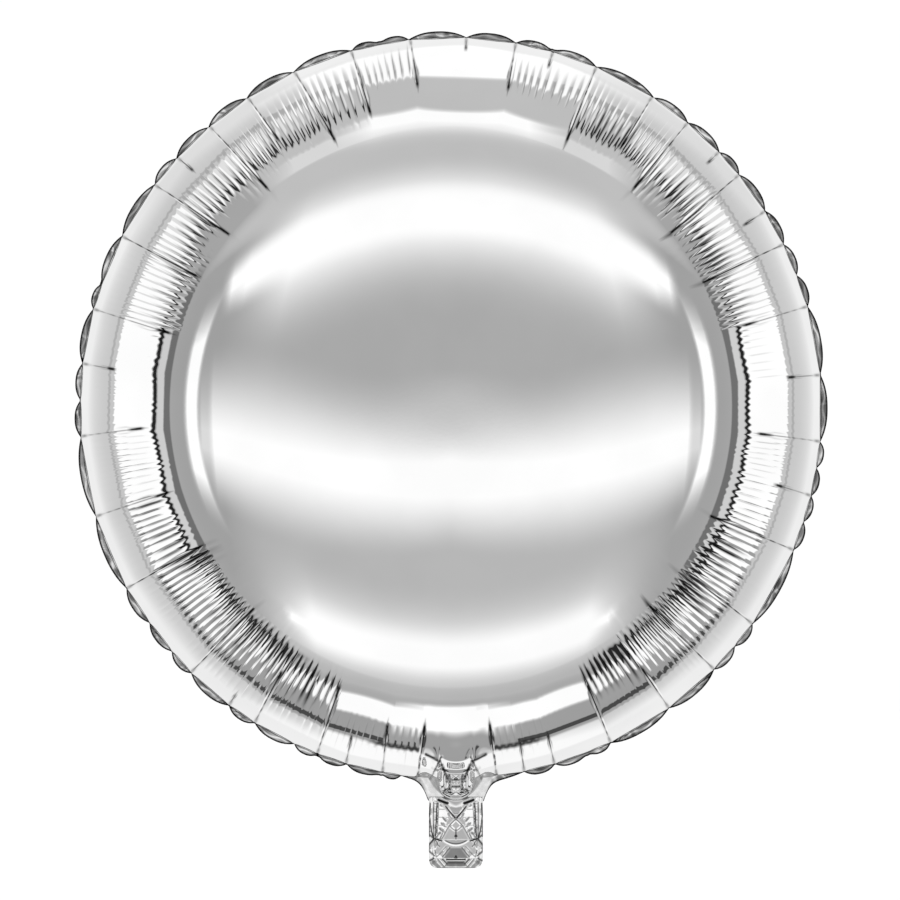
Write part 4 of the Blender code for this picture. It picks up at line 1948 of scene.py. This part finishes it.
@dataclass
class Studio:
    """Plain light tent, floor and camera."""

    camera_distance: float = 4.0
    view_width: float = 0.42363
    view_x: float = -0.00038
    view_z: float = -0.01972
    sensor: float = 36.0
    camera_sees: float = 50.0
    floor_z: float = -0.33
    floor_half: float = 6.0
    floor_pale: float = 0.9
    floor_dull: float = 0.9
    floor_glow: float = 0.4
    tent_grey: float = 0.43
    droop_over: tuple[float, float, float] = (-2.4, -3.7, 5.0)
    droop_under: tuple[float, float, float] = (-6.7, -5.6, 2.2)
    fade_over: Span = (4.4, 28.0)
    fade_under: Span = (11.0, 10.0)

    def window_group(self) -> bpy.types.NodeTree:
        """Node group for one stretch of direction, with its two fades.

        Returns:
            The group; its Share is 1 inside the stretch and 0 beyond the fades.
        """
        group = shader_group(
            "tent_window",
            {"Place": ("NodeSocketFloat", 0.0), "Low": ("NodeSocketFloat", 0.0),
             "High": ("NodeSocketFloat", 1.0), "Fade Low": ("NodeSocketFloat", 0.1),
             "Fade High": ("NodeSocketFloat", 0.1)},
            {"Share": "NodeSocketFloat"},
        )
        bench = NodeBench(group)
        source = group.nodes["Group Input"].outputs
        low, high = source["Low"], source["High"]
        rise = bench.slope(source["Place"],
                           bench.math("SUBTRACT", low, source["Fade Low"]), low)
        fall = bench.slope(source["Place"],
                           bench.math("ADD", high, source["Fade High"]), high)
        share = bench.math("MULTIPLY", rise, fall)
        bench.feed(group.nodes["Group Output"].inputs["Share"],
                   bench.math("MULTIPLY", share, share))
        return group

    def measures(self, bench: NodeBench) -> dict[Axis, bpy.types.NodeSocket]:
        """Work out every measure of the direction that light comes from.

        Args:
            bench: places the nodes in the world's tree.

        Returns:
            The output socket of each measure.
        """
        way = bench.add("ShaderNodeTexCoord").outputs["Generated"]
        split = bench.add("ShaderNodeSeparateXYZ", Vector=way).outputs
        side = bench.math("ABSOLUTE", split["X"])
        ahead = bench.math("MULTIPLY", split["Y"], -1.0)
        about = bench.math("DEGREES", bench.math("ARCTAN2", split["Z"], ahead))

        def edge(place: tuple[float, float, float]) -> bpy.types.NodeSocket:
            """Place an edge of the drooping strip.

            Args:
                place: its height in the middle, its droop at the sides, in degrees
                    round the X axis, and how soon it droops.

            Returns:
                Its place, in degrees round the X axis.
            """
            middle, droop, bend = place
            bent = bench.math("TANH", bench.math("MULTIPLY", side, bend))
            return bench.math("MULTIPLY_ADD", bent, droop, middle)

        def fade(width: Span) -> bpy.types.NodeSocket:
            """How wide an edge's fade is, in degrees."""
            return bench.math("MULTIPLY_ADD", side, width[1], width[0])

        over = bench.math("SUBTRACT", about, edge(self.droop_over))
        under = bench.math("SUBTRACT", edge(self.droop_under), about)
        return {
            Axis.ROUND: about,
            Axis.OFF: bench.math("DEGREES", bench.math("ARCCOSINE", ahead)),
            Axis.LIFT: bench.math("DEGREES", bench.math("ARCTAN2", split["Z"], side)),
            Axis.SIDE: side,
            Axis.OVER: bench.math("DIVIDE", over, fade(self.fade_over)),
            Axis.UNDER: bench.math("DIVIDE", under, fade(self.fade_under)),
        }

    def light(self) -> None:
        """Build the tent as the world's light."""
        world = bpy.data.worlds.new("light_tent")
        world.use_nodes = True
        bpy.context.scene.world = world
        bench = NodeBench(world.node_tree)
        measures = self.measures(bench)
        group = self.window_group()
        total: object = self.tent_grey
        for panel in TENT:
            cover: object = 1.0
            for bound in panel.bounds:
                share = bench.add("ShaderNodeGroup", {"node_tree": group},
                                  Place=measures[bound.axis], Low=bound.low,
                                  High=bound.high, Fade_Low=bound.fade_low,
                                  Fade_High=bound.fade_high).outputs["Share"]
                cover = bench.math("MULTIPLY", share, cover)
            missing = bench.math("SUBTRACT", panel.level, total)
            total = bench.math("MULTIPLY_ADD", cover, missing, total)
        seen = bench.add("ShaderNodeLightPath").outputs["Is Camera Ray"]
        hidden = bench.math("SUBTRACT", GROUND, total)
        total = bench.math("MULTIPLY_ADD", seen, hidden, total)
        colour = bench.add("ShaderNodeCombineColor", Red=total, Green=total, Blue=total)
        background = world.node_tree.nodes["Background"]
        bench.feed(background.inputs["Color"], colour.outputs[0])

    def floor(self) -> bpy.types.Object:
        """Lay the pale floor.

        Returns:
            The floor.
        """
        slab = bmesh.new()
        bmesh.ops.create_grid(slab, x_segments=1, y_segments=1, size=self.floor_half)
        bmesh.ops.translate(slab, vec=(0.0, 0.0, self.floor_z), verts=slab.verts[:])
        mesh = to_mesh(slab, "floor")
        floor = bpy.data.objects.new("floor", mesh)
        bpy.context.scene.collection.objects.link(floor)
        paint = bpy.data.materials.new("floor_paint")
        paint.use_nodes = True
        shader = paint.node_tree.nodes["Principled BSDF"]
        shader.inputs["Base Color"].default_value = (*[self.floor_pale] * 3, 1.0)
        shader.inputs["Roughness"].default_value = self.floor_dull
        shader.inputs["Emission Color"].default_value = (1.0, 1.0, 1.0, 1.0)
        shader.inputs["Emission Strength"].default_value = self.floor_glow
        mesh.materials.append(paint)
        floor.visible_glossy = False
        return floor

    def camera(self) -> bpy.types.Object:
        """Set the camera level in front of the balloon, far off with a long lens.

        Returns:
            The camera.
        """
        lens = bpy.data.cameras.new("camera")
        lens.sensor_width = self.sensor
        lens.sensor_fit = "HORIZONTAL"
        lens.lens = self.sensor * self.camera_distance / self.view_width
        lens.clip_end = self.camera_sees
        camera = bpy.data.objects.new("camera", lens)
        camera.location = (self.view_x, -self.camera_distance, self.view_z)
        camera.rotation_euler = (math.pi / 2, 0.0, 0.0)
        bpy.context.scene.collection.objects.link(camera)
        bpy.context.scene.camera = camera
        return camera

    def build(self) -> None:
        """Build light, floor and camera."""
        self.light()
        self.floor()
        self.camera()
        bpy.context.scene.view_settings.view_transform = "Standard"


def main() -> None:
    """Build the dressed balloon and its studio."""
    logging.basicConfig(level=logging.INFO, format="%(name)s %(message)s")
    shape = FilmShape()
    mirror = MIRROR_FILM.material()
    Panel(shape, Side.FRONT, mirror).build("front_film", "front_panel")
    Panel(shape, Side.BACK, mirror).build("back_film", "back_panel")
    RimWeld(shape, PRESSED_FILM.material()).build()
    neck = Neck(NECK_FILM.material(), NECK_SEAL.material())
    neck.build_film("neck_front_puff", "neck_front_film", Side.FRONT)
    neck.build_film("neck_back_puff", "neck_back_film", Side.BACK)
    neck.build_border()
    Studio().build()


if __name__ == "__main__":
    main()
